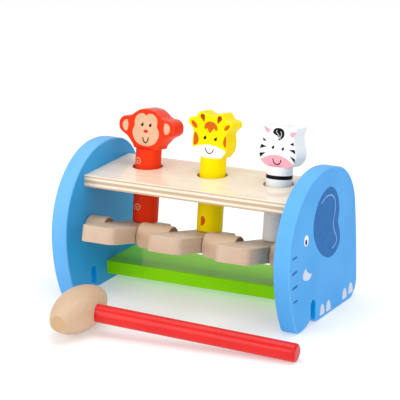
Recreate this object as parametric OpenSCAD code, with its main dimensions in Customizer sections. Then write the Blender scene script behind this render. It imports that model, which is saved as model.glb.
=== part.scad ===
// Peg pounding bench: two elephant side panels carry a drilled top board, a base board
// and three levers on one axle rod. Striking the front of a lever throws its animal peg
// up through the top board. A wooden mallet lies on the floor in front.
// Bench axes: X along the length from the middle, Y back from the front of the panels,
// Z up from the floor. The finished set is centred on its own floor outline.

/* [Side panels] */
// Length of the bench over both side panels
bench_length = 226; // [190:1:280]
// Thickness of a side panel
panel_thickness = 15; // [12:0.5:20]
// Depth of a side panel, front to back
panel_depth = 134.5; // [126:0.5:150]
// Height of a side panel
panel_height = 128; // [122:0.5:136]
// Radius of the round brow and front of the elephant
brow_radius = 70; // [64:0.5:72]
// Radius of the arched back of the elephant
back_radius = 101; // [96:0.5:106]
// Radius where the back turns down into the rump
rump_radius = 46; // [40:0.5:50]
// Radius of the slightly curved flank, from the rump down to the heel
flank_radius = 660; // [500:10:900]
// Radius at the heel of the hind leg
heel_radius = 15.5; // [10:0.5:18]
// Radius of the long front curve of the trunk
trunk_radius = 118; // [106:1:130]
// Radius of the tip of the trunk
trunk_tip_radius = 9; // [6:0.5:11]
// Radius of the underside of the trunk
trunk_sole_radius = 47; // [40:1:60]
// Distance from the front of the panel to the slot between trunk and leg
slot_front = 42.2; // [39:0.2:46]
// Width of the slot between trunk and leg
slot_width = 8.5; // [6:0.5:11]
// Height of the slot between trunk and leg
slot_height = 21; // [15:0.5:26]
// Radius at the front corner of the foot
foot_corner_radius = 4; // [3.5:0.5:6]
// Round on the edges of the panels
panel_edge_round = 1.25; // [0.75:0.25:3]

/* [Boards] */
// Thickness of the top board
top_board_thickness = 10.5; // [9:0.25:14]
// Depth of the top board
top_board_depth = 79.4; // [72:0.2:86]
// Distance from the front of the panels to the front edge of the top board
top_board_front = 32.7; // [30:0.1:36]
// Height of the upper face of the top board
top_board_height = 106.7; // [103:0.1:110]
// Round on the long edges of the boards
board_edge_round = 1; // [0.4:0.2:2.5]
// Thickness of the base board
base_board_thickness = 12; // [9:0.5:14]
// Depth of the base board
base_board_depth = 52; // [40:0.5:58]
// Distance from the front of the panels to the front edge of the base board
base_board_front = 68.8; // [64:0.2:74]
// Height of the upper face of the base board
base_board_height = 19.4; // [17:0.2:23]
// Diameter of the dowels that join the boards to the panels
dowel_d = 6; // [4:0.5:7]
// Depth of a dowel in the end of a board
dowel_in_board = 16; // [10:1:25]
// Depth of a dowel in a panel
dowel_in_panel = 9; // [6:0.5:10]

/* [Holes and pegs] */
// Distance between neighbouring pegs, as a share of the length between the panels
peg_pitch_share = 0.322; // [0.3:0.005:0.345]
// Distance from the front of the panels to the row of holes
hole_row = 82.2; // [78:0.1:86]
// Diameter of a hole in the top board
hole_d = 25.8; // [25:0.1:28]
// Bevel round a hole
hole_bevel = 0.7; // [0.3:0.1:1.5]
// Diameter of a peg
peg_d = 22.5; // [20:0.1:23]
// Round on the foot of a peg
peg_edge_round = 1.2; // [0.5:0.1:2.5]
// Length of a peg above the top board, up to its head
neck_height = 15.5; // [10:0.5:22]
// Lean of the pegs towards the back, as they stand on the sloping levers, in degrees
peg_lean = 8; // [4:0.5:9]

/* [Animal heads] */
// Thickness of a head
head_thickness = 17; // [13:0.5:19]
// Distance of the middle of a head behind the middle of its peg
head_set_back = 1; // [0:0.25:2]
// Width of the flat under a head that sits on its peg
head_seat_width = 24; // [23:0.5:28]
// Width of the monkey head over its ears
monkey_width = 55.5; // [48:0.5:60]
// Height of the monkey head
monkey_height = 35.5; // [31:0.5:40]
// Width of the giraffe head over its ears
giraffe_width = 44.6; // [40:0.2:50]
// Height of the giraffe head
giraffe_height = 38.8; // [34:0.2:43]
// Width of the zebra head
zebra_width = 37.4; // [33:0.2:41]
// Height of the zebra head
zebra_height = 34.9; // [31:0.1:38]
// Round on the edges of the heads
head_edge_round = 1; // [0.8:0.1:1.4]
// Diameter of the pin that joins a head to its peg
neck_pin_d = 6; // [4:0.5:8]
// Depth of the pin in the head, and in the peg
neck_pin_depth = 10; // [6:0.5:14]

/* [Levers] */
// Width of a lever
lever_width = 32; // [28:0.5:36]
// Thickness of a lever
lever_thickness = 14.2; // [12:0.2:15]
// Length of a lever in front of the axle
lever_front = 51.4; // [46:0.2:54]
// Length of a lever behind the axle
lever_back = 56; // [55:0.2:58]
// Radius of the front corners of a lever
lever_corner_radius = 7.5; // [4:0.5:12]
// Radius of the rear corners of a lever
lever_tail_radius = 3; // [2.5:0.5:6]
// Round on the edges of a lever
lever_edge_round = 1; // [0.6:0.2:2]
// Slope of the levers at rest, front end up, in degrees
lever_slope = 13.3; // [10.5:0.1:14]

/* [Axle and stop rod] */
// Distance from the front of the panels to the axle rod
axle_back = 40.3; // [37:0.1:43]
// Height of the axle rod
axle_height = 58; // [55:0.2:61]
// Diameter of the axle rod and of the stop rod
rod_d = 6; // [5:0.5:8]
// Depth of the rods in a panel
rod_in_panel = 9; // [6:0.5:10]
// Distance along a lever from the axle rod to the stop rod
stop_reach = 52; // [48:0.5:53]
// Diameter of the spacers on the axle rod
spacer_d = 22.2; // [18:0.2:24]
// Bevel on the ends of the spacers
spacer_bevel = 0.8; // [0.3:0.1:1.5]

/* [Mallet] */
// Length of the mallet head
mallet_head_length = 79; // [70:0.5:88]
// Diameter of the mallet head in the middle
mallet_head_d = 37; // [32:0.5:42]
// Diameter of the striking faces
mallet_face_d = 12.8; // [10:0.2:18]
// Round on the rim of the striking faces
mallet_rim_round = 1; // [0.5:0.25:2.5]
// Diameter of the handle
handle_d = 15.5; // [12:0.5:18]
// Length of the handle from the middle of the head to its tip
handle_reach = 196.6; // [180:0.2:215]
// Depth of the handle past the middle of the head
handle_past_middle = 9; // [4:0.5:12]
// Round on the tip of the handle
handle_tip_round = 2.5; // [1:0.25:4]
// Place of the mallet head to the left of the middle of the bench
mallet_left = 55.2; // [45:0.2:70]
// Place of the mallet head in front of the panels
mallet_forward = 53.8; // [50:0.2:70]
// Turn of the mallet on the floor, in degrees
mallet_turn = 3.3; // [0:0.1:8]

/* [Fits] */
// Clearance round a lever bore on the axle rod
running_clearance = 0.08; // [0.03:0.01:0.1]
// Clearance round pins and dowels that are glued or driven in
glue_clearance = 0.05; // [0.02:0.01:0.1]
// Gap left where pieces rest on each other or slide past
rest_gap = 0.3; // [0.2:0.05:0.5]

/* [Hidden] */
$fn = 64;

// Extra length of every cut past the face that it opens on
overrun = 1;
// Steps along a long arc, a short arc and an edge round
long_steps = 14;
short_steps = 6;
edge_steps = 3;
// Steps between two points of a smooth outline
curve_steps = 2;

// Turn of each peg in its hole, monkey, giraffe, zebra, in degrees
peg_turns = [-2, -5, -7];
// Sideways shift of each head on its peg, as the heads were glued on by eye
head_shifts = [0.6, -0.8, 1.3];

// Half outlines of the heads, from the seat up to the crown. Each point is a share of
// the half width and a share of the height.
monkey_shares = [
    [0.472, 0.10], [0.555, 0.175], [0.634, 0.245], [0.717, 0.30], [0.85, 0.36], [0.944, 0.415],
    [0.99, 0.475], [1, 0.55], [0.975, 0.63], [0.90, 0.70], [0.77, 0.748], [0.63, 0.782],
    [0.52, 0.82], [0.42, 0.875], [0.24, 0.96], [0, 1],
];
giraffe_shares = [
    [0.61, 0.046], [0.73, 0.145], [0.77, 0.242], [0.785, 0.361], [0.758, 0.454], [0.749, 0.541],
    [0.807, 0.60], [0.897, 0.657], [0.973, 0.698], [1, 0.747], [0.978, 0.80], [0.90, 0.838],
    [0.762, 0.858], [0.664, 0.874], [0.596, 0.923], [0.53, 0.975], [0.43, 1], [0.31, 0.97],
    [0.22, 0.945], [0, 0.94],
];
zebra_shares = [
    [0.76, 0.045], [0.875, 0.106], [0.96, 0.186], [1, 0.287], [0.981, 0.401], [0.912, 0.527],
    [0.864, 0.628], [0.832, 0.731], [0.853, 0.822], [0.933, 0.946], [0.92, 0.99], [0.80, 1],
    [0.66, 0.955], [0.50, 0.945], [0.33, 0.965], [0, 0.985],
];
// Places of the two dowels along the depth of a board
dowel_shares = [0.22, 0.78];

inner_half = bench_length / 2 - panel_thickness;
peg_pitch = 2 * inner_half * peg_pitch_share;
rod_length = 2 * (inner_half + rod_in_panel - glue_clearance);
spacer_length = peg_pitch - lever_width - 2 * rest_gap;
end_spacer_length = inner_half - peg_pitch - lever_width / 2 - 2 * rest_gap;
end_spacer_middle = inner_half - rest_gap - end_spacer_length / 2;

// The pegs lean on the middle of the holes. The foot of a peg stops just above its lever.
board_middle = top_board_height - top_board_thickness / 2;
lean_gap = lever_slope - peg_lean;
hole_over_lever = (hole_row - axle_back) * sin(lever_slope)
    + (board_middle - axle_height) * cos(lever_slope) - lever_thickness / 2;
peg_below = (hole_over_lever - peg_d / 2 * sin(lean_gap) - rest_gap) / cos(lean_gap);
peg_above = top_board_thickness / 2 + neck_height;

// The stop rod touches the underside of the lever tails.
stop_drop = lever_thickness / 2 + rest_gap + rod_d / 2;
stop_back = axle_back + stop_reach * cos(lever_slope) - stop_drop * sin(lever_slope);
stop_height = axle_height - stop_reach * sin(lever_slope) - stop_drop * cos(lever_slope);

// The mallet rests on its head and on the tip of its handle. The head is a barrel: an arc
// turned about its axis, with a small arc at the rim of each face.
handle_dip = asin((mallet_head_d - handle_d) / 2 / handle_reach);
barrel_sag = (mallet_head_d - mallet_face_d) / 2;
barrel_radius = (pow(mallet_head_length / 2, 2) + pow(barrel_sag, 2)) / (2 * barrel_sag);
barrel_middle = mallet_head_d / 2 - barrel_radius;
rim_height = mallet_head_length / 2 - mallet_rim_round;
rim_turn = asin(rim_height / (barrel_radius - mallet_rim_round));
rim_middle = barrel_middle + (barrel_radius - mallet_rim_round) * cos(rim_turn);

// Outermost points of the mallet, for the middle of the whole set on the floor
handle_run = cos(mallet_turn) * cos(handle_dip);
set_right = -mallet_left + (handle_reach - handle_tip_round) * handle_run + handle_tip_round
    + (handle_d / 2 - handle_tip_round) * sqrt(1 - handle_run * handle_run);
set_front = mallet_forward + rim_height * cos(mallet_turn) + rim_middle * sin(mallet_turn)
    + mallet_rim_round;
set_middle = [(set_right - bench_length / 2) / 2, (panel_depth - set_front) / 2, 0];

// Points on an arc from one angle to another. skip and drop leave out points at its ends.
function arc(centre, radius, from, to, steps, skip = 0, drop = 0) = [
    for (i = [skip:steps - drop]) let (a = from + (to - from) * i / steps)
        [centre[0] + radius * cos(a), centre[1] + radius * sin(a)]
];

// Smooth curve through the points p
function curve(p, steps) = let (last = len(p) - 1) [
    for (i = [0:last - 1], j = [0:steps - 1])
        let (
            a = p[max(i - 1, 0)], b = p[i], c = p[i + 1], d = p[min(i + 2, last)],
            t = j / steps
        )
        (2 * b + (c - a) * t + (2 * a - 5 * b + 4 * c - d) * t * t
            + (3 * b - a - 3 * c + d) * t * t * t) / 2,
    p[last],
];

// Closed outline of a head: the flat seat, one side up to the crown and the mirrored side
function head_outline(shares, width, height) =
    let (
        seat = [head_seat_width / 2, 0],
        side = [for (s = shares) [s[0] * width / 2, s[1] * height]],
        half = concat([seat], curve(side, curve_steps))
    )
    concat(half, [for (i = [len(half) - 2:-1:0]) [-half[i][0], half[i][1]]]);

// Unit vector at right angles to a step of an outline, pointing into the outline
function inward(step) = [-step[1], step[0]] / norm(step);

// Outline moved inwards by a distance, corner by corner
function inset(p, distance) = let (n = len(p)) [
    for (i = [0:n - 1])
        let (
            before = inward(p[i] - p[(i + n - 1) % n]),
            after = inward(p[(i + 1) % n] - p[i]),
            both = before + after
        )
        p[i] + both * distance * 2 / (both * both)
];

// Side view of a panel, an elephant with its trunk to the front. The rump is an arc that
// runs smoothly into the arcs of the flank and of the back.
function panel_outline() =
    let (
        brow = [brow_radius, panel_height - brow_radius],
        back = [brow_radius, panel_height - back_radius],
        flank = [panel_depth - flank_radius, heel_radius],
        span = back - flank,
        apart = norm(span),
        flank_arm = flank_radius - rump_radius,
        back_arm = back_radius - rump_radius,
        along = (pow(flank_arm, 2) - pow(back_arm, 2) + pow(apart, 2)) / (2 * apart),
        aside = sqrt(pow(flank_arm, 2) - pow(along, 2)),
        rump = flank + (along * span + aside * [-span[1], span[0]]) / apart,
        flank_turn = atan2(rump[1] - flank[1], rump[0] - flank[0]),
        rump_turn = atan2(rump[1] - back[1], rump[0] - back[0]),
        tip_drop = brow[1] - trunk_tip_radius,
        tip_run = sqrt(pow(trunk_radius - trunk_tip_radius, 2) - pow(tip_drop, 2)),
        tip_turn = atan2(tip_drop, tip_run),
        tip = [trunk_radius - tip_run, trunk_tip_radius],
        sole_turn = asin((slot_front - tip[0]) / trunk_sole_radius),
        slot = [slot_front + slot_width / 2, slot_height - slot_width / 2],
        toe = [slot_front + slot_width + foot_corner_radius, foot_corner_radius],
        heel = [panel_depth - heel_radius, heel_radius]
    )
    concat(
        arc(brow, brow_radius, 90, 180, long_steps),
        arc([trunk_radius, brow[1]], trunk_radius, 180, 180 + tip_turn, short_steps, skip = 1),
        arc(tip, trunk_tip_radius, 180 + tip_turn, 270, short_steps, skip = 1),
        arc([tip[0], trunk_sole_radius], trunk_sole_radius, 270, 270 + sole_turn, short_steps, skip = 1),
        arc(slot, slot_width / 2, 180, 0, short_steps),
        arc(toe, foot_corner_radius, 180, 270, short_steps),
        arc(heel, heel_radius, 270, 360, short_steps),
        arc(flank, flank_radius, 0, flank_turn, short_steps, skip = 1),
        arc(rump, rump_radius, flank_turn, rump_turn, long_steps, skip = 1),
        arc(back, back_radius, rump_turn, 90, short_steps, skip = 1, drop = 1)
    );

// Plan view of a lever, front end at the negative side, axle at the origin
function lever_outline() =
    let (
        nose = [lever_width / 2 - lever_corner_radius, lever_corner_radius - lever_front],
        tail = [lever_width / 2 - lever_tail_radius, lever_back - lever_tail_radius]
    )
    concat(
        arc(nose, lever_corner_radius, 270, 360, short_steps),
        arc(tail, lever_tail_radius, 0, 90, short_steps),
        arc([-tail[0], tail[1]], lever_tail_radius, 90, 180, short_steps),
        arc([-nose[0], nose[1]], lever_corner_radius, 180, 270, short_steps)
    );

// Board with the given outline and both rims rounded, from z = 0 to its thickness
module rounded_board(outline, thickness, edge) {
    n = len(outline);
    turns = [for (j = [0:edge_steps]) 90 * j / edge_steps];
    lower = [for (a = turns) [edge * (1 - sin(a)), edge * (1 - cos(a))]];
    upper = [for (j = [edge_steps:-1:0]) [lower[j][0], thickness - lower[j][1]]];
    rims = concat(lower, upper);
    last = len(rims) - 1;
    sides = [
        for (k = [0:last - 1], i = [0:n - 1])
            let (j = (i + 1) % n, a = k * n + i, b = k * n + j, c = a + n, d = b + n)
            each [[a, d, b], [a, c, d]]
    ];
    polyhedron(
        points = [for (r = rims, q = inset(outline, r[0])) [q[0], q[1], r[1]]],
        faces = concat(sides, [[for (i = [0:n - 1]) i]], [[for (i = [n - 1:-1:0]) last * n + i]]),
        convexity = 6
    );
}

// Moves a piece from the bench axes to the middle of the whole set
module in_set() {
    translate(-set_middle) children();
}

// Draws a piece at the right end of the bench and its mirror image at the left end
module at_both_ends() {
    children();
    mirror([1, 0, 0]) children();
}

// Lays a side view, drawn with Y to the right and Z up, across the bench
module across() {
    rotate([90, 0, 90]) children();
}

// Round bar along X with its middle at X = 0, at a distance back and a height
module bar(length, d, back, height) {
    translate([0, back, height]) rotate([0, 90, 0]) cylinder(h = length, d = d, center = true);
}

// The blind holes in the panels for the ends of the axle rod and the stop rod
module rod_holes(clearance) {
    for (place = [[axle_back, axle_height], [stop_back, stop_height]])
        bar(rod_length + 2 * clearance, rod_d + 2 * clearance, place[0], place[1]);
}

// The dowels at the ends of a board, or with a clearance the holes that take them
module dowels(front, depth, height, clearance) {
    at_both_ends() for (share = dowel_shares)
        translate([inner_half - dowel_in_board - clearance, front + depth * share, height])
            rotate([0, 90, 0])
                cylinder(h = dowel_in_board + dowel_in_panel + 2 * clearance, d = dowel_d + 2 * clearance);
}

module top_dowels(clearance) {
    dowels(top_board_front, top_board_depth, board_middle, clearance);
}

module base_dowels(clearance) {
    dowels(base_board_front, base_board_depth, base_board_height - base_board_thickness / 2, clearance);
}

// Panel at the right end of the bench, with blind holes for rods and dowels
module panel() {
    difference() {
        translate([inner_half, 0, 0]) across()
            rounded_board(panel_outline(), panel_thickness, panel_edge_round);
        rod_holes(glue_clearance);
        top_dowels(glue_clearance);
        base_dowels(glue_clearance);
    }
}

// Board between the panels with rounded long edges
module long_board(front, depth, height, thickness) {
    translate([-inner_half, front, height - thickness]) across() linear_extrude(2 * inner_half) {
        translate([board_edge_round, 0]) square([depth - 2 * board_edge_round, thickness]);
        translate([0, board_edge_round]) square([depth, thickness - 2 * board_edge_round]);
        for (y = [board_edge_round, depth - board_edge_round])
            for (z = [board_edge_round, thickness - board_edge_round])
                translate([y, z]) circle(board_edge_round);
    }
}

// Hole for a peg, bevelled at both faces of the top board
module peg_hole() {
    half = top_board_thickness / 2;
    cylinder(h = top_board_thickness + 2 * overrun, d = hole_d, center = true);
    for (up = [0, 1]) mirror([0, 0, up]) translate([0, 0, half - hole_bevel])
        cylinder(h = 2 * hole_bevel, d1 = hole_d, d2 = hole_d + 4 * hole_bevel);
}

// Sleeve on the axle rod with bevelled ends, its middle at the given X
module spacer(middle, length) {
    color("burlywood") in_set() translate([middle, axle_back, axle_height]) rotate([0, 90, 0])
        rotate_extrude() polygon([
            [rod_d / 2 + glue_clearance, -length / 2],
            [spacer_d / 2 - spacer_bevel, -length / 2],
            [spacer_d / 2, spacer_bevel - length / 2],
            [spacer_d / 2, length / 2 - spacer_bevel],
            [spacer_d / 2 - spacer_bevel, length / 2],
            [rod_d / 2 + glue_clearance, length / 2],
        ]);
}

// Lever of one peg, numbered -1, 0 and 1 from left to right
module lever(number) {
    color("wheat") in_set() translate([number * peg_pitch, axle_back, axle_height])
        rotate([-lever_slope, 0, 0]) difference() {
            translate([0, 0, -lever_thickness / 2])
                rounded_board(lever_outline(), lever_thickness, lever_edge_round);
            bar(lever_width + 2 * overrun, rod_d + 2 * running_clearance, 0, 0);
        }
}

// Axes of one peg: its middle in the hole, leaning back and turned about its own length
module in_peg(number) {
    in_set() translate([number * peg_pitch, hole_row, board_middle])
        rotate([-peg_lean, 0, 0]) rotate([0, 0, peg_turns[number + 1]]) children();
}

// Pin that joins a head to its peg, or with a clearance the hole that takes it
module neck_pin(clearance) {
    translate([0, 0, peg_above])
        cylinder(h = 2 * (neck_pin_depth + clearance), d = neck_pin_d + 2 * clearance, center = true);
}

// Round peg with a rounded foot
module peg() {
    foot = [peg_d / 2 - peg_edge_round, peg_edge_round - peg_below];
    difference() {
        rotate_extrude() polygon(concat(
            [[0, -peg_below]],
            arc(foot, peg_edge_round, 270, 360, short_steps),
            [[peg_d / 2, peg_above], [0, peg_above]]
        ));
        neck_pin(glue_clearance);
    }
}

// Flat head with rounded edges, seated on the peg
module head(shares, width, height, shift) {
    difference() {
        translate([shift, head_set_back + head_thickness / 2, peg_above]) rotate([90, 0, 0])
            rounded_board(head_outline(shares, width, height), head_thickness, head_edge_round);
        neck_pin(glue_clearance);
    }
}

// Axes of the mallet: the middle of its head, X along the floor under the handle
module in_mallet() {
    in_set() translate([-mallet_left, -mallet_forward, mallet_head_d / 2])
        rotate([0, 0, mallet_turn]) children();
}

// Turns a piece that stands on Z so that it lies along the handle, dipping to the floor
module along_handle() {
    rotate([0, 90 + handle_dip, 0]) children();
}

module left_panel() {
    color("cornflowerblue") in_set() mirror([1, 0, 0]) panel();
}

module right_panel() {
    color("cornflowerblue") in_set() panel();
}

module top_board() {
    color("bisque") in_set() difference() {
        long_board(top_board_front, top_board_depth, top_board_height, top_board_thickness);
        for (number = [-1:1])
            translate([number * peg_pitch, hole_row, board_middle]) peg_hole();
        top_dowels(glue_clearance);
    }
}

module base_board() {
    color("limegreen") in_set() difference() {
        long_board(base_board_front, base_board_depth, base_board_height, base_board_thickness);
        base_dowels(glue_clearance);
    }
}

module top_board_dowels() {
    color("tan") in_set() top_dowels(0);
}

module base_board_dowels() {
    color("tan") in_set() base_dowels(0);
}

module axle_rod() {
    color("silver") in_set() bar(rod_length, rod_d, axle_back, axle_height);
}

module stop_rod() {
    color("silver") in_set() bar(rod_length, rod_d, stop_back, stop_height);
}

module left_end_spacer() {
    spacer(-end_spacer_middle, end_spacer_length);
}

module left_spacer() {
    spacer(-peg_pitch / 2, spacer_length);
}

module right_spacer() {
    spacer(peg_pitch / 2, spacer_length);
}

module right_end_spacer() {
    spacer(end_spacer_middle, end_spacer_length);
}

module left_lever() {
    lever(-1);
}

module middle_lever() {
    lever(0);
}

module right_lever() {
    lever(1);
}

module monkey_peg() {
    color("orangered") in_peg(-1) peg();
}

module monkey_head() {
    color("orangered") in_peg(-1) head(monkey_shares, monkey_width, monkey_height, head_shifts[0]);
}

module monkey_neck_pin() {
    color("tan") in_peg(-1) neck_pin(0);
}

module giraffe_peg() {
    color("gold") in_peg(0) peg();
}

module giraffe_head() {
    color("gold") in_peg(0) head(giraffe_shares, giraffe_width, giraffe_height, head_shifts[1]);
}

module giraffe_neck_pin() {
    color("tan") in_peg(0) neck_pin(0);
}

module zebra_peg() {
    color("white") in_peg(1) peg();
}

module zebra_head() {
    color("white") in_peg(1) head(zebra_shares, zebra_width, zebra_height, head_shifts[2]);
}

module zebra_neck_pin() {
    color("tan") in_peg(1) neck_pin(0);
}

// Barrel with a blind hole for the handle
module mallet_head() {
    shoulder = barrel_radius * sin(rim_turn);
    color("burlywood") in_mallet() difference() {
        rotate([90, 0, 0]) rotate_extrude() {
            intersection() {
                translate([barrel_middle, 0]) circle(barrel_radius);
                translate([0, -shoulder]) square([mallet_head_d, 2 * shoulder]);
            }
            translate([0, -mallet_head_length / 2]) square([rim_middle, mallet_head_length]);
            for (z = [-rim_height, rim_height]) translate([rim_middle, z]) circle(mallet_rim_round);
        }
        along_handle() translate([0, 0, -handle_past_middle - glue_clearance])
            cylinder(h = mallet_head_d, d = handle_d + 2 * glue_clearance);
    }
}

// Round handle with a rounded tip
module mallet_handle() {
    tip = [handle_d / 2 - handle_tip_round, handle_reach - handle_tip_round];
    color("red") in_mallet() along_handle() rotate_extrude() polygon(concat(
        [[0, -handle_past_middle], [handle_d / 2, -handle_past_middle]],
        arc(tip, handle_tip_round, 0, 90, short_steps),
        [[0, handle_reach]]
    ));
}

left_panel();
right_panel();
top_board();
base_board();
top_board_dowels();
base_board_dowels();
axle_rod();
stop_rod();
left_end_spacer();
left_spacer();
right_spacer();
right_end_spacer();
left_lever();
middle_lever();
right_lever();
monkey_peg();
monkey_head();
monkey_neck_pin();
giraffe_peg();
giraffe_head();
giraffe_neck_pin();
zebra_peg();
zebra_head();
zebra_neck_pin();
mallet_head();
mallet_handle();
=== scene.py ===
"""Dressed scene of a wooden peg pounding bench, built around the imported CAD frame.

Shapes are worked out in millimetres in bench axes: X along the bench from its middle,
Y back from the front of the side panels, Z up from the floor. BenchAxes moves them into
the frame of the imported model, in metres.
"""

import logging
import math
from collections.abc import Callable, Sequence
from dataclasses import dataclass
from enum import Enum

import bpy
import numpy as np
from mathutils import Euler, Matrix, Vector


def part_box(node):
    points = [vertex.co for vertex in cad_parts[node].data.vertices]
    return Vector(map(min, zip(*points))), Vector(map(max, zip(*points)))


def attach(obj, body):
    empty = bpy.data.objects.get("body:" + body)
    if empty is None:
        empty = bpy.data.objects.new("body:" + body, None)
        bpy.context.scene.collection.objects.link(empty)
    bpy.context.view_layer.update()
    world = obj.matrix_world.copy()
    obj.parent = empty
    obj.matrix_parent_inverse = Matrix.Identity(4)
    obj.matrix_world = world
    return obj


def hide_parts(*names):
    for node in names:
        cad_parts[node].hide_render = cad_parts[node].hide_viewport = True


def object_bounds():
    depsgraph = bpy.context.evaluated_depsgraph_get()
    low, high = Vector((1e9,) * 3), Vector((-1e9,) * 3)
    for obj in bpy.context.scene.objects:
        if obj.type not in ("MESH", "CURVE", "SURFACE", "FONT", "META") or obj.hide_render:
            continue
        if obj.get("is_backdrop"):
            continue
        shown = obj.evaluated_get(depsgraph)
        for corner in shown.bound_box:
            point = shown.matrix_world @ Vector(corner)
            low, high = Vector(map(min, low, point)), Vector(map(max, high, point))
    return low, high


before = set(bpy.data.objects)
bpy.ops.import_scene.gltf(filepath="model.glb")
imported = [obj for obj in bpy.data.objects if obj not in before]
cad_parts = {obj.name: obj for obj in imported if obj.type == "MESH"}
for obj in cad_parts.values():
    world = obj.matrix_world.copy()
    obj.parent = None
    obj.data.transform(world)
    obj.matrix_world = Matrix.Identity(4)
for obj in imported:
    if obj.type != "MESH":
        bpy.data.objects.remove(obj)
CAD_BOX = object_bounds()

MM = 0.001
RIM = "rim"
# Millimetres: spacing of the levers, height of the middle of the top board, and the distance up
# to which two points of an outline are one.
PITCH = 63.112
BOARD_MIDDLE = 101.45
SAME_POINT = 1e-4
# A flat face starts at this share of the rim's radius inside the outline.
FACE_INSET = 1.06
LOG = logging.getLogger("pounding_bench")

Array = np.ndarray
Material = bpy.types.Material
Pair = tuple[float, float]
Points = Sequence[Pair]
Triple = tuple[float, float, float]
Colour = Triple
Lift = Callable[[Array, Array], Array]


class Side(Enum):
    """End of the bench, with the sign of its X."""

    LEFT = -1
    RIGHT = 1


class Station(Enum):
    """Place of a lever and its figure, in pitches from the middle of the bench."""

    LEFT = -1
    MIDDLE = 0
    RIGHT = 1

    def across(self) -> float:
        """X of the place in millimetres."""
        return self.value * PITCH


class Grain(Enum):
    """Turns in degrees about X, Y and Z that lay the grain of a piece along texture X."""

    ALONG_BENCH = (0.0, 0.0, 0.0)
    ALONG_LEVER = (13.3, 0.0, -90.0)
    ALONG_MALLET_HEAD = (0.0, 0.0, -93.3)

    def along(self, point: Array) -> float:
        """Texture X of a point, in the unit of the point."""
        turn = Euler([math.radians(angle) for angle in self.value], "XYZ").to_matrix()
        return float(np.array(turn)[0] @ point)


def srgb(red: int, green: int, blue: int) -> Colour:
    """Linear colour of an 8-bit display colour, by the sRGB curve.

    Args:
        red: Red, 0 to 255.
        green: Green, 0 to 255.
        blue: Blue, 0 to 255.

    Returns:
        The colour as shaders take it.
    """
    shares = np.array([red, green, blue]) / 255
    bent = ((shares + 0.055) / 1.055) ** 2.4
    linear = np.where(shares <= 0.04045, shares / 12.92, bent)
    return tuple(float(value) for value in linear)


class Wire:
    """Value on a shader socket. Arithmetic on it adds Math nodes to its tree."""

    def __init__(self, shader: "Shader", socket: bpy.types.NodeSocket) -> None:
        """Keeps the tree and the socket."""
        self.shader = shader
        self.socket = socket

    def _math(self, operation: str, first: "Wire | float", second: "Wire | float") -> "Wire":
        """Adds a Math node.

        Args:
            operation: Name of the operation.
            first: First value.
            second: Second value.

        Returns:
            The result.
        """
        return self.shader.node("ShaderNodeMath", {"operation": operation}, {0: first, 1: second})

    def __add__(self, other: "Wire | float") -> "Wire":
        """Sum."""
        return self._math("ADD", self, other)

    def __radd__(self, other: float) -> "Wire":
        """Sum with a number in front."""
        return self._math("ADD", other, self)

    def __sub__(self, other: "Wire | float") -> "Wire":
        """Difference."""
        return self._math("SUBTRACT", self, other)

    def __rsub__(self, other: float) -> "Wire":
        """Difference from a number in front."""
        return self._math("SUBTRACT", other, self)

    def __mul__(self, other: "Wire | float") -> "Wire":
        """Product."""
        return self._math("MULTIPLY", self, other)

    def __rmul__(self, other: float) -> "Wire":
        """Product with a number in front."""
        return self._math("MULTIPLY", other, self)

    def __abs__(self) -> "Wire":
        """Size without sign."""
        return self._math("ABSOLUTE", self, 0.0)

    def sine(self) -> "Wire":
        """Sine of the value in radians."""
        return self._math("SINE", self, 0.0)

    def smooth(self, low: float, high: float) -> "Wire":
        """Smooth step from 0 at low to 1 at high.

        Args:
            low: Value where the step starts.
            high: Value where it ends.

        Returns:
            The step.
        """
        return self.shader.node(
            "ShaderNodeMapRange",
            {"interpolation_type": "SMOOTHSTEP"},
            {"Value": self, "From Min": low, "From Max": high},
        )


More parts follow.
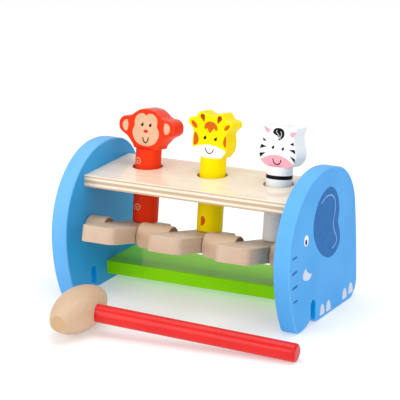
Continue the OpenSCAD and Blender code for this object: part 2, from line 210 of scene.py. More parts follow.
class Shader:
    """Node tree of one material that ends in a Principled shader."""

    def __init__(self, name: str) -> None:
        """Makes the material with a plain Principled shader.

        Args:
            name: Name of the material.
        """
        self.material = bpy.data.materials.new(name)
        self.material.use_nodes = True
        self.tree = self.material.node_tree
        self.tree.nodes.clear()
        output = self.tree.nodes.new("ShaderNodeOutputMaterial")
        self.surface = self.tree.nodes.new("ShaderNodeBsdfPrincipled")
        self.tree.links.new(self.surface.outputs[0], output.inputs["Surface"])

    def feed(self, socket: bpy.types.NodeSocket, value: object) -> None:
        """Links a wire to a socket, or sets the socket to a plain value.

        Args:
            socket: Input of a node.
            value: Wire, number, vector or colour.
        """
        if isinstance(value, Wire):
            self.tree.links.new(value.socket, socket)
        elif socket.type == "RGBA":
            socket.default_value = (*value, 1.0)
        else:
            socket.default_value = value

    def node(
        self,
        kind: str,
        settings: dict[str, object] | None = None,
        sockets: dict[int | str, object] | None = None,
        output: int | str = 0,
    ) -> Wire:
        """Adds any node: its settings are set first, then its sockets.

        Args:
            kind: Blender's type of the node.
            settings: Properties of the node.
            sockets: Values or wires by the name or number of the input.
            output: Name or number of the output that is wanted.

        Returns:
            That output.
        """
        made = self.tree.nodes.new(kind)
        for name, value in (settings or {}).items():
            setattr(made, name, value)
        for name, value in (sockets or {}).items():
            self.feed(made.inputs[name], value)
        return Wire(self, made.outputs[output])

    def millimetres(self, turn: Triple = (0, 0, 0), shift: Triple = (0, 0, 0)) -> Wire:
        """Object coordinates in millimetres, turned about X, Y, Z in degrees, then shifted.

        Args:
            turn: Angles in degrees.
            shift: Shift in millimetres after the turn.

        Returns:
            The coordinates.
        """
        place = self.node("ShaderNodeTexCoord", output="Object")
        angles = tuple(math.radians(angle) for angle in turn)
        sockets = {"Vector": place, "Location": shift, "Rotation": angles, "Scale": (1 / MM,) * 3}
        return self.node("ShaderNodeMapping", {"vector_type": "POINT"}, sockets)

    def split(self, place: Wire) -> list[Wire]:
        """The three coordinates of a vector."""
        sockets = self.node("ShaderNodeSeparateXYZ", sockets={0: place}).socket.node.outputs
        return [Wire(self, socket) for socket in sockets]

    def noise(self, place: Wire, stretch: Triple, detail: float = 2.0, rough: float = 0.5) -> Wire:
        """Noise whose features have about the given sizes in millimetres along each axis.

        Args:
            place: Coordinates in millimetres.
            stretch: Size of a feature along X, Y and Z.
            detail: Finer layers on top.
            rough: Weight of the finer layers.

        Returns:
            Noise around 0.5.
        """
        shares = tuple(1 / size for size in stretch)
        scaled = self.node("ShaderNodeVectorMath", {"operation": "MULTIPLY"}, {0: place, 1: shares})
        sockets = {"Vector": scaled, "Scale": 1.0, "Detail": detail, "Roughness": rough}
        return self.node("ShaderNodeTexNoise", sockets=sockets)

    def mix(self, first: object, second: object, share: Wire | float) -> Wire:
        """Colour between two colours.

        Args:
            first: Colour at share 0.
            second: Colour at share 1.
            share: Share of the second colour.

        Returns:
            The mixed colour.
        """
        return self.node("ShaderNodeMix", {"data_type": "RGBA"}, {0: share, 6: first, 7: second}, 2)

    def rim(self) -> Wire:
        """How far a point lies on a rounded edge, 0 to 1; on the walls of the side panels it is painted
        highlight, and below 0 it is painted shade.
        """
        return self.node("ShaderNodeAttribute", {"attribute_name": RIM}, output="Fac")

    def finish(
        self, colour: Wire, roughness: Wire, height: Wire, depth: float, **constants: float
    ) -> Material:
        """Feeds the Principled shader.

        Args:
            colour: Base colour.
            roughness: Roughness.
            height: Relief, 0 to 1.
            depth: Depth of the relief in millimetres.
            constants: Other inputs, with _ for the blanks in their names.

        Returns:
            The finished material.
        """
        for name, value in constants.items():
            self.surface.inputs[name.replace("_", " ")].default_value = value
        sockets = {"Strength": 1.0, "Distance": depth * MM, "Height": height}
        bump = self.node("ShaderNodeBump", sockets=sockets)
        self.feed(self.surface.inputs["Base Color"], colour)
        self.feed(self.surface.inputs["Roughness"], roughness)
        self.feed(self.surface.inputs["Normal"], bump)
        return self.material


@dataclass(frozen=True)
class Zone:
    """Second colour on the front of a head, below a parabola in the axes of its peg.

    The zone holds the points with v < top - bend * (u - middle)^2 in front of depth. Its edge
    is soft on both sides.
    """

    colour: Colour
    top: float
    bend: float
    middle: float
    turn: Triple
    shift: Triple
    depth: float
    soft: float = 0.15


@dataclass(frozen=True)
class Paint:
    """Sprayed paint: faint mottling, a fine orange peel, thinner colour on rubbed edges and painted
    highlight on the walls of the side panels.

    A negative rim value marks a recess or an inner face, where shade is painted in with the recess
    colour. Faces that look up may have more lacquer than the rest.
    """

    name: str
    colour: Colour
    deep: Colour
    # Colour of rubbed edges, also the colour of the painted highlight on the walls of the side panels.
    thin_and_highlight: Colour
    roughness: float = 0.36
    coat: float = 0.03
    top_coat: float = 0.0
    gloss: float = 0.14
    shine: float = 0.1
    relief: float = 0.035
    # Share of that colour where the rim value is 1.
    bare_and_highlight: float = 0.3
    # Colour of the painted shade where the rim value is below 0, in slots and on inner faces.
    recess: Colour = (0.0, 0.0, 0.0)
    zone: Zone | None = None
    mottle_size: float = 48.0
    peel_size: float = 1.7
    speck_size: float = 0.5

    def material(self) -> Material:
        """Builds the material.

        Returns:
            The paint.
        """
        shader = Shader(self.name)
        place = shader.millimetres()
        broad = shader.noise(place, (self.mottle_size,) * 3, 3)
        peel = shader.noise(place, (self.peel_size,) * 3, 1)
        speck = shader.noise(place, (self.speck_size,) * 3, 2)
        colour = shader.mix(self.colour, self.deep, broad.smooth(0.32, 0.72))
        if self.zone is not None:
            colour = shader.mix(colour, self.zone.colour, self._inside(shader, self.zone))
        # Rim value: rubbed rims, painted highlight on the panel walls, and painted shade below 0.
        rim = shader.rim()
        edge_tint = rim * (0.6 + 0.4 * speck.smooth(0.42, 0.7))
        colour = shader.mix(colour, self.thin_and_highlight, self.bare_and_highlight * edge_tint)
        # Painted shade: the recess colour where the rim value is below 0.
        colour = shader.mix(colour, self.recess, 0 - rim)
        roughness = self.roughness + 0.1 * (peel - 0.5) + 0.08 * edge_tint
        height = 0.8 * peel + 0.2 * speck
        if self.top_coat > 0:
            up = shader.split(shader.node("ShaderNodeNewGeometry", output="Normal"))[2]
            coat = self.coat + self.top_coat * up.smooth(0.3, 0.9)
            shader.feed(shader.surface.inputs["Coat Weight"], coat)
        constants = {
            "Coat_Weight": self.coat,
            "Coat_Roughness": self.gloss,
            "Specular_IOR_Level": self.shine,
        }
        return shader.finish(colour, roughness, height, self.relief, **constants)

    @staticmethod
    def _inside(shader: Shader, zone: Zone) -> Wire:
        """Mask of a zone.

        Args:
            shader: Tree of the material.
            zone: The zone.

        Returns:
            1 in the zone and 0 outside.
        """
        across, deep, up = shader.split(shader.millimetres(zone.turn, zone.shift))
        away = across - zone.middle
        under = zone.top - zone.bend * (away * away) - up
        behind = deep.smooth(zone.depth - zone.soft, zone.depth + zone.soft)
        return under.smooth(-zone.soft, zone.soft) * (1 - behind)


@dataclass(frozen=True)
class Ends:
    """Cut ends of turned wood: distances of the end faces from a middle along the grain."""

    middle: float
    away: tuple[float, ...]
    colour: Colour


@dataclass(frozen=True)
class Timber:
    """Clear-lacquered beech: growth rings round a far heart, ray flecks, pores and dark ends."""

    name: str
    light: Colour
    dark: Colour
    fleck: Colour
    grain: Grain
    heart: Pair = (60.0, -85.0)
    ends: Ends | None = None
    ring: float = 3.4
    sway: float = 5.0
    roughness: float = 0.45
    coat: float = 0.05
    gloss: float = 0.2
    shine: float = 0.3
    relief: float = 0.012
    end_depth: Pair = (0.15, 0.5)

    @classmethod
    def beech(
        cls, name: str, grain: Grain, tone: Colour = (1, 1, 1), ends: Ends | None = None
    ) -> "Timber":
        """Beech in the shades of the bench.

        Args:
            name: Name of the material.
            grain: Way of the grain.
            tone: Shares of red, green and blue that it keeps.
            ends: Its cut ends, if they show.

        Returns:
            The wood.
        """
        shades = (srgb(230, 206, 184), srgb(214, 184, 158), srgb(176, 136, 108))
        toned = [tuple(share * value for share, value in zip(tone, shade)) for shade in shades]
        return cls(name, *toned, grain, ends=ends)

    def material(self) -> Material:
        """Builds the material. Rings follow sin(2 pi r / ring), r taken from the heart.

        Returns:
            The wood.
        """
        shader = Shader(self.name)
        place = shader.millimetres(self.grain.value, (0, *self.heart))
        along, across, up = shader.split(place)
        flat = shader.node("ShaderNodeCombineXYZ", sockets={1: across, 2: up})
        radius = shader.node("ShaderNodeVectorMath", {"operation": "LENGTH"}, {0: flat}, "Value")
        sway = shader.noise(place, (70, 9, 9), 2)
        phase = (radius + self.sway * sway) * (2 * math.pi / self.ring)
        rings = 0.5 + 0.5 * phase.sine()
        streak = shader.noise(place, (55, 1.6, 1.6), 3, 0.6)
        ray = shader.noise(place, (3.2, 0.5, 0.5), 1).smooth(0.6, 0.72)
        pore = shader.noise(place, (1.4, 0.22, 0.22), 1)
        broad = shader.noise(place, (90, 26, 26), 2)
        tone = 0.16 * rings + 0.26 * streak.smooth(0.2, 0.8) + 0.5 * broad.smooth(0.3, 0.7)
        colour = shader.mix(self.light, self.dark, tone)
        colour = shader.mix(colour, self.fleck, 0.14 * ray)
        edge_tint = shader.rim()
        colour = shader.mix(colour, self.light, 0.3 * edge_tint)
        if self.ends is not None:
            side = abs(along - self.ends.middle)
            for away in self.ends.away:
                band = 1 - abs(side - away).smooth(*self.end_depth)
                share = band * (0.7 + 0.25 * pore.smooth(0.3, 0.7))
                colour = shader.mix(colour, self.ends.colour, share)
        roughness = self.roughness + 0.16 * (streak - 0.5) + 0.06 * ray
        height = 0.55 * pore + 0.3 * streak - 0.3 * ray
        constants = {
            "Coat_Weight": self.coat,
            "Coat_Roughness": self.gloss,
            "Specular_IOR_Level": self.shine,
        }
        return shader.finish(colour, roughness, height, self.relief, **constants)


@dataclass(frozen=True)
class Plywood:
    """Glossy birch plywood: long veneers on the faces, crossed plies dark on the edges.

    Plies are told apart by the distance from the middle of the board, in millimetres.
    """

    name: str
    light: Colour
    dark: Colour
    cross: Colour
    fleck: Colour
    middle: float
    core: float = 1.3
    inner: float = 3.45
    outer: float = 4.8
    glue: float = 0.15
    skin_glue: float = 0.12
    roughness: float = 0.17
    coat: float = 0.45
    gloss: float = 0.1
    relief: float = 0.02

    def material(self) -> Material:
        """Builds the material.

        Returns:
            The plywood.
        """
        shader = Shader(self.name)
        place = shader.millimetres()
        up = shader.split(place)[2]
        away = abs(up - self.middle + 0.5 * (shader.noise(place, (40, 40, 9), 1) - 0.5))
        crossed = 1 - away.smooth(self.core - self.glue, self.core + self.glue)
        crossed = crossed + away.smooth(self.inner - self.glue, self.inner + self.glue)
        crossed = crossed - away.smooth(self.outer - self.skin_glue, self.outer + self.skin_glue)
        flame = shader.noise(place, (150, 15, 6), 3, 0.55)
        lines = (flame * 46).sine()
        streak = shader.noise(place, (60, 1.1, 1.1), 3, 0.6)
        fleck = shader.noise(place, (5.5, 0.6, 0.8), 1).smooth(0.63, 0.74)
        pore = shader.noise(place, (0.5, 2.5, 0.35), 2)
        tone = 0.3 + 0.14 * lines + 0.5 * (streak - 0.5) + 0.7 * (flame - 0.5)
        veneer = shader.mix(self.light, self.dark, tone.smooth(0, 1))
        veneer = shader.mix(veneer, self.fleck, 0.4 * fleck)
        end_grain = shader.mix(self.cross, self.fleck, 0.55 * pore.smooth(0.45, 0.75))
        colour = shader.mix(veneer, end_grain, crossed)
        roughness = self.roughness + 0.14 * crossed + 0.08 * (streak - 0.5)
        height = 0.5 * streak + 0.4 * pore * crossed - 0.3 * fleck
        constants = {"Coat_Weight": self.coat, "Coat_Roughness": self.gloss}
        return shader.finish(colour, roughness, height, self.relief, **constants)


@dataclass(frozen=True)
class Ink:
    """Printed colour: a film of little thickness with slight mottling."""

    name: str
    colour: Colour
    deep: Colour
    roughness: float = 0.4
    shine: float = 0.1
    relief: float = 0.012

    def material(self) -> Material:
        """Builds the material.

        Returns:
            The ink.
        """
        shader = Shader(self.name)
        place = shader.millimetres()
        cloud = shader.noise(place, (9, 9, 9), 3)
        dot = shader.noise(place, (0.45, 0.45, 0.45), 1)
        share = 0.7 * cloud.smooth(0.35, 0.7) + 0.2 * (dot - 0.5)
        colour = shader.mix(self.colour, self.deep, share)
        roughness = self.roughness + 0.14 * (dot - 0.5)
        return shader.finish(colour, roughness, dot, self.relief, Specular_IOR_Level=self.shine)


class InkColour(Enum):
    """Printed colours: the main shade and a deeper one, as 8-bit display colours."""

    BLACK = ((8, 8, 10), (18, 17, 20))
    WHITE = ((250, 250, 252), (238, 240, 246))
    EAR_BLUE = ((14, 105, 175), (8, 97, 166))
    LINE_BLUE = ((146, 192, 240), (134, 182, 234))
    NAIL = ((208, 218, 232), (196, 206, 224))
    PEACH = ((228, 182, 146), (220, 173, 137))
    NOSE_RED = ((206, 52, 44), (188, 40, 36))
    SMILE = ((62, 32, 32), (50, 26, 28))
    ORANGE = ((210, 95, 2), (202, 88, 0))
    HORN = ((168, 70, 6), (152, 60, 2))
    PINK = ((236, 172, 188), (228, 158, 176))

    def material(self) -> Material:
        """The ink of this colour."""
        return Ink(f"{self.name.lower()}_ink", *(srgb(*shade) for shade in self.value)).material()


@dataclass(frozen=True)
class Steel:
    """Bright drawn steel rod with fine lines along the bench."""

    name: str
    colour: Colour
    dull: Colour
    roughness: float = 0.24
    relief: float = 0.01

    def material(self) -> Material:
        """Builds the material.

        Returns:
            The steel.
        """
        shader = Shader(self.name)
        place = shader.millimetres()
        drawn = shader.noise(place, (40, 0.25, 0.25), 2)
        cloud = shader.noise(place, (14, 5, 5), 2)
        colour = shader.mix(self.colour, self.dull, 0.6 * cloud.smooth(0.4, 0.7))
        roughness = self.roughness + 0.2 * (drawn - 0.5) + 0.08 * cloud
        return shader.finish(colour, roughness, drawn, self.relief, Metallic=1.0)


@dataclass(frozen=True)
class BenchAxes:
    """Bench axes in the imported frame."""

    origin: Array

    @classmethod
    def of_frame(cls) -> "BenchAxes":
        """Finds the bench axes from the boxes of the two side panels.

        Returns:
            The axes.
        """
        left_low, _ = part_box("left_panel")
        right_low, right_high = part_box("right_panel")
        return cls(np.array([(left_low.x + right_high.x) / 2, right_low.y, 0.0]))

    def place(self, points: Array) -> Array:
        """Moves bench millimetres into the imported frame, in metres."""
        return self.origin + np.asarray(points, float) * MM


@dataclass
class Skin:
    """Closed surface: points in bench millimetres, faces, and the rim value of each point."""

    points: Array
    faces: list[list[int]]
    rim: Array

    @classmethod
    def of_rings(cls, rings: Array, rim: Array | None = None) -> "Skin":
        """Surface over a grid of rings, closed round each ring, with a flat face on both ends.

        Args:
            rings: Points, shape (rows, columns, 3).
            rim: Rim value of each point, shape (rows, columns), or nothing for zero.

        Returns:
            The surface.
        """
        rows, columns, _ = rings.shape
        row = np.arange(rows - 1)[:, None] * columns
        here = np.arange(columns)[None, :]
        after = (here + 1) % columns
        quads = np.stack([row + here, row + after, row + columns + after, row + columns + here], -1)
        faces = quads.reshape(-1, 4).tolist()
        faces.append(np.arange(columns)[::-1].tolist())
        faces.append((np.arange(columns) + (rows - 1) * columns).tolist())
        values = np.zeros((rows, columns)) if rim is None else rim
        return cls(rings.reshape(-1, 3), faces, values.reshape(-1))

    @classmethod
    def joined(cls, skins: list["Skin"]) -> "Skin":
        """Several surfaces as one.

        Args:
            skins: The surfaces.

        Returns:
            Their union, not welded.
        """
        faces = []
        start = 0
        for skin in skins:
            faces += [[start + corner for corner in face] for face in skin.faces]
            start += len(skin.points)
        points = np.concatenate([skin.points for skin in skins])
        return cls(points, faces, np.concatenate([skin.rim for skin in skins]))


# Name, films and ink of a print.
Print = tuple[str, list[Skin], InkColour]


@dataclass(frozen=True)
class Workshop:
    """Turns skins into Blender pieces and dresses CAD nodes."""

    axes: BenchAxes
    inks: dict[InkColour, Material]
    sharp: float = 38.0

    def piece(self, name: str, skin: Skin, material: Material, body: str) -> bpy.types.Object:
        """Makes a piece of a skin, with its faces pointing outwards, and lets it ride.

        Args:
            name: Name of the piece.
            skin: Its surface.
            material: Its finish.
            body: Body that carries it.

        Returns:
            The piece.
        """
        mesh = bpy.data.meshes.new(name)
        mesh.from_pydata(self.axes.place(skin.points).tolist(), [], skin.faces)
        rim = mesh.attributes.new(RIM, "FLOAT", "POINT")
        rim.data.foreach_set("value", skin.rim.astype(np.float32))
        mesh.shade_smooth()
        mesh.set_sharp_from_angle(angle=math.radians(self.sharp))
        if self._volume(mesh) < 0:
            mesh.flip_normals()
        mesh.materials.append(material)
        made = bpy.data.objects.new(name, mesh)
        bpy.context.scene.collection.objects.link(made)
        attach(made, body)
        LOG.info("piece %s: %d faces, rides on %s", name, len(mesh.polygons), body)
        return made

    def lay(self, owner: str, prints: list[Print], body: str) -> None:
        """Makes a piece of each print.

        Args:
            owner: First word of the pieces' names.
            prints: The prints.
            body: Body that carries them.
        """
        for name, films, ink in prints:
            self.piece(f"{owner}_{name}", Skin.joined(films), self.inks[ink], body)

    @staticmethod
    def _volume(mesh: bpy.types.Mesh) -> float:
        """Signed volume, the sum of a . (b x c) / 6 over the triangles.

        Args:
            mesh: Closed mesh.

        Returns:
            The volume, negative if the faces point inwards.
        """
        mesh.calc_loop_triangles()
        corners = np.zeros(len(mesh.loop_triangles) * 3, np.int32)
        mesh.loop_triangles.foreach_get("vertices", corners)
        places = np.zeros(len(mesh.vertices) * 3, np.float32)
        mesh.vertices.foreach_get("co", places)
        middle = places.reshape(-1, 3).mean(0)
        first, second, third = (places.reshape(-1, 3) - middle)[corners.reshape(-1, 3).T]
        return float((first * np.cross(second, third)).sum() / 6)

    @staticmethod
    def dress(nodes: list[str], material: Material) -> None:
        """Gives CAD nodes a finish.

        Args:
            nodes: Names of the nodes.
            material: The finish.
        """
        for node in nodes:
            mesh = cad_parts[node].data
            mesh.materials.clear()
            mesh.materials.append(material)
            LOG.info("dressed %s in %s", node, material.name)


def arc(centre: Pair, radius: float, start: float, end: float, steps: int) -> Array:
    """Points on an arc: centre + radius (cos a, sin a), a from start to end in degrees.

    Args:
        centre: Middle of the arc.
        radius: Its radius.
        start: First angle.
        end: Last angle.
        steps: Number of steps.

    Returns:
        Points, shape (steps + 1, 2).
    """
    angles = np.radians(np.linspace(start, end, steps + 1))
    return np.array(centre) + radius * np.stack([np.cos(angles), np.sin(angles)], -1)


def ellipse(middle: Pair, half: Pair, turn: float = 0.0, steps: int = 40) -> Array:
    """Points on an ellipse that is turned by an angle in degrees.

    Args:
        middle: Its middle.
        half: Its half width and half height.
        turn: Its turn.
        steps: Number of points.

    Returns:
        Points, shape (steps, 2).
    """
    angles = np.linspace(0, 2 * np.pi, steps, endpoint=False)
    flat = np.stack([half[0] * np.cos(angles), half[1] * np.sin(angles)], -1)
    cos, sin = math.cos(math.radians(turn)), math.sin(math.radians(turn))
    return flat @ np.array([[cos, sin], [-sin, cos]]) + np.array(middle)


def drop(middle: Pair, half: Pair) -> Array:
    """Drop with its point up and to the right, as a smooth curve through scaled corners.

    Args:
        middle: Middle of the round end.
        half: Half width and half height.

    Returns:
        The outline.
    """
    corners = [
        (0.0, -0.75), (0.75, -0.45), (0.95, 0.15), (0.75, 0.8), (0.5, 1.25),
        (0.15, 0.75), (-0.6, 0.4), (-0.95, -0.05), (-0.7, -0.55),
    ]
    return np.array(middle) + through(corners, closed=True) * np.array(half)


def through(points: Points, steps: int = 8, closed: bool = False) -> Array:
    """Catmull-Rom curve: between b and c the cubic with slopes (c - a) / 2 and (d - b) / 2.

    Args:
        points: Points on the curve.
        steps: Steps between two points.
        closed: Whether the curve comes back to its start.

    Returns:
        Points of the curve. A closed curve doesn't repeat its first point.
    """
    b = np.array(points, float)
    if closed:
        a, c, d = np.roll(b, 1, 0), np.roll(b, -1, 0), np.roll(b, -2, 0)
    else:
        a, c, d = np.vstack([b[:1], b[:-2]]), b[1:], np.vstack([b[2:], b[-1:]])
        b = b[:-1]
    t = (np.arange(steps) / steps)[None, :, None]
    a, b, c, d = (p[:, None, :] for p in (a, b, c, d))
    cubic = 2 * b + (c - a) * t + (2 * a - 5 * b + 4 * c - d) * t**2 + (3 * b - a - 3 * c + d) * t**3
    curve = (cubic / 2).reshape(-1, 2)
    return curve if closed else np.vstack([curve, np.array(points[-1:], float)])


def chained(parts: list[Array]) -> Array:
    """One closed outline of several stretches, without points that repeat.

    Args:
        parts: Stretches in order.

    Returns:
        The outline.
    """
    line = np.concatenate(parts)
    gaps = np.linalg.norm(line - np.roll(line, 1, 0), axis=1)
    return line[gaps > SAME_POINT]


def inset(outline: Array, distance: float) -> Array:
    """Closed outline moved inwards: each corner moves along the bisector of its two sides.

    Args:
        outline: Points in counterclockwise order, shape (n, 2).
        distance: How far the sides move.

    Returns:
        The moved points.
    """
    both = np.zeros_like(outline)
    for side in (outline - np.roll(outline, 1, 0), np.roll(outline, -1, 0) - outline):
        both += np.stack([-side[:, 1], side[:, 0]], -1) / np.linalg.norm(side, axis=1)[:, None]
    return outline + both * (2 * distance / (both * both).sum(1))[:, None]


def counterclockwise(outline: Array) -> Array:
    """Turns a closed outline to counterclockwise order, by the sign of its area.

    Args:
        outline: Points, shape (n, 2).

    Returns:
        The points in counterclockwise order.
    """
    after = np.roll(outline, -1, 0)
    area = (outline[:, 0] * after[:, 1] - after[:, 0] * outline[:, 1]).sum()
    return outline if area > 0 else outline[::-1]


def rounded_board(
    outline: Array, thickness: float, edge: float, lift: Lift, wear_and_painted_light: Array | None = None, steps: int = 6
) -> Skin:
    """Board whose rims are quarter circles: at angle a the outline lies edge (1 - sin a) inside
    and edge (1 - cos a) from the face.

    Args:
        outline: Outline in counterclockwise order.
        thickness: Thickness of the board.
        edge: Radius of the rims.
        lift: Takes outline points and heights to bench millimetres.
        wear_and_painted_light: Rim values of the rims and of the wall between them, shape (2, n), or
            nothing for 1 and
            0. The rims show rubbing, the wall values painted highlight; a negative value of the wall is
               painted shade and counts for its rims too.
        steps: Steps of a rim.

    Returns:
        The board.
    """
    angles = np.radians(np.linspace(0, 90, steps + 1))
    inside = np.concatenate([[FACE_INSET * edge], edge * (1 - np.sin(angles))])
    height = np.concatenate([[0.0], edge * (1 - np.cos(angles))])
    rims, walls = np.array([[1.0], [0.0]]) * np.ones(len(outline)) if wear_and_painted_light is None else wear_and_painted_light
    # Wall values are painted highlight, and painted shade where they are below 0.
    wall_painted_light = np.outer(np.sin(angles), walls)
    edge_tint = np.where(walls < 0, wall_painted_light, np.maximum(np.outer(np.sin(2 * angles), rims), wall_painted_light))
    edge_tint = np.vstack([np.zeros(len(outline)), edge_tint])
    rows = np.concatenate([inside, inside[::-1]])
    heights = np.concatenate([height, thickness - height[::-1]])
    flat = np.stack([inset(outline, distance) for distance in rows])
    level = np.broadcast_to(heights[:, None], flat.shape[:2])
    rings = lift(flat.reshape(-1, 2), level.reshape(-1)).reshape(*flat.shape[:2], 3)
    return Skin.of_rings(rings, np.vstack([edge_tint, edge_tint[::-1]]))


@dataclass(frozen=True)
class Press:
    """Lays printed films on a surface. A film is closed: it dips under the surface."""

    lift: Lift
    film: float = 0.06
    dip: float = 0.1
    soft: float = 0.04
    fill: int = 0
    least: float = 0.04
    end_turn: float = 84.0

    def patch(self, outline: Array, layer: int = 1) -> Skin:
        """Film with an outline: rings that go up its edge and in over its face.

        On a curved surface the face is filled with smaller and smaller copies of the outline.

        Args:
            outline: Closed outline on the surface.
            layer: Number of the film from the surface.

        Returns:
            The film.
        """
        line = counterclockwise(outline)
        top = self.film * layer
        rows = [(0.0, -self.dip), (0.0, top - self.soft / 2), (self.soft, top), (3 * self.soft, top)]
        flats = [(inset(line, inside), height) for inside, height in rows]
        centre = line.mean(0)
        shares = np.linspace(1, self.least, self.fill + 1)[1:]
        flats += [(centre + share * (flats[-1][0] - centre), top) for share in shares]
        rings = [self.lift(flat, np.full(len(line), height)) for flat, height in flats]
        return Skin.of_rings(np.stack(rings))

    def blob(self, points: Points) -> Skin:
        """Film with a smooth outline through points."""
        return self.patch(through(points, closed=True))

    def pointed(self, points: Points) -> Skin:
        """Film with a smooth outline and one corner, where the points start and end."""
        return self.patch(through(points)[:-1])

    def stroke(self, path: Array, width: float, layer: int = 1, round_steps: int = 5) -> Skin:
        """Flat profile swept along a path with round ends: its half width is w sqrt(1 - s^2) there.

        Args:
            path: Points along the middle of the stroke.
            width: Width of the stroke.
            layer: Number of the film from the surface.
            round_steps: Steps of a round end.

        Returns:
            The film.
        """
        half = width / 2
        ahead = np.gradient(path, axis=0)
        ahead = ahead / np.linalg.norm(ahead, axis=1)[:, None]
        bend = np.radians(np.linspace(self.end_turn, 0, round_steps + 1)[:-1])
        start = path[0] - ahead[0] * half * np.sin(bend)[:, None]
        end = path[-1] + ahead[-1] * half * np.sin(bend[::-1])[:, None]
        middle = np.vstack([start, path, end])
        way = np.pad(ahead, ((round_steps, round_steps), (0, 0)), "edge")
        narrow = half * np.cos(bend)
        wide = np.concatenate([narrow, np.full(len(path), half), narrow[::-1]])
        left = np.stack([-way[:, 1], way[:, 0]], -1)
        top = self.film * layer
        across = np.array([1.0, 1.0, 1 - self.soft / half, self.soft / half - 1, -1.0, -1.0])
        heights = np.array([-self.dip, top - self.soft / 2, top, top, top - self.soft / 2, -self.dip])
        flat = middle[:, None] + left[:, None] * (wide[:, None] * across)[:, :, None]
        level = np.broadcast_to(heights, flat.shape[:2])
        rings = self.lift(flat.reshape(-1, 2), level.reshape(-1)).reshape(*flat.shape[:2], 3)
        return Skin.of_rings(rings)

    def band(self, low: float, high: float, length: float, steps: int = 96) -> Skin:
        """Ring of film between two heights: a flat profile carried once round the surface.

        Args:
            low: Height of its lower edge.
            high: Height of its upper edge.
            length: Way once round.
            steps: Steps of that way.

        Returns:
            The film.
        """
        side = self.film - self.soft / 2
        rows = [(low, -self.dip), (low, side), (low + self.dip, self.film)]
        rows += [(high - self.dip, self.film), (high, side), (high, -self.dip), (low, -self.dip)]
        around = np.linspace(0, length, steps, endpoint=False)
        rings = [
            self.lift(np.column_stack([around, np.full(steps, place)]), np.full(steps, height))
            for place, height in rows
        ]
        ring = Skin.of_rings(np.stack(rings))
        ring.faces = ring.faces[:-2]
        return ring


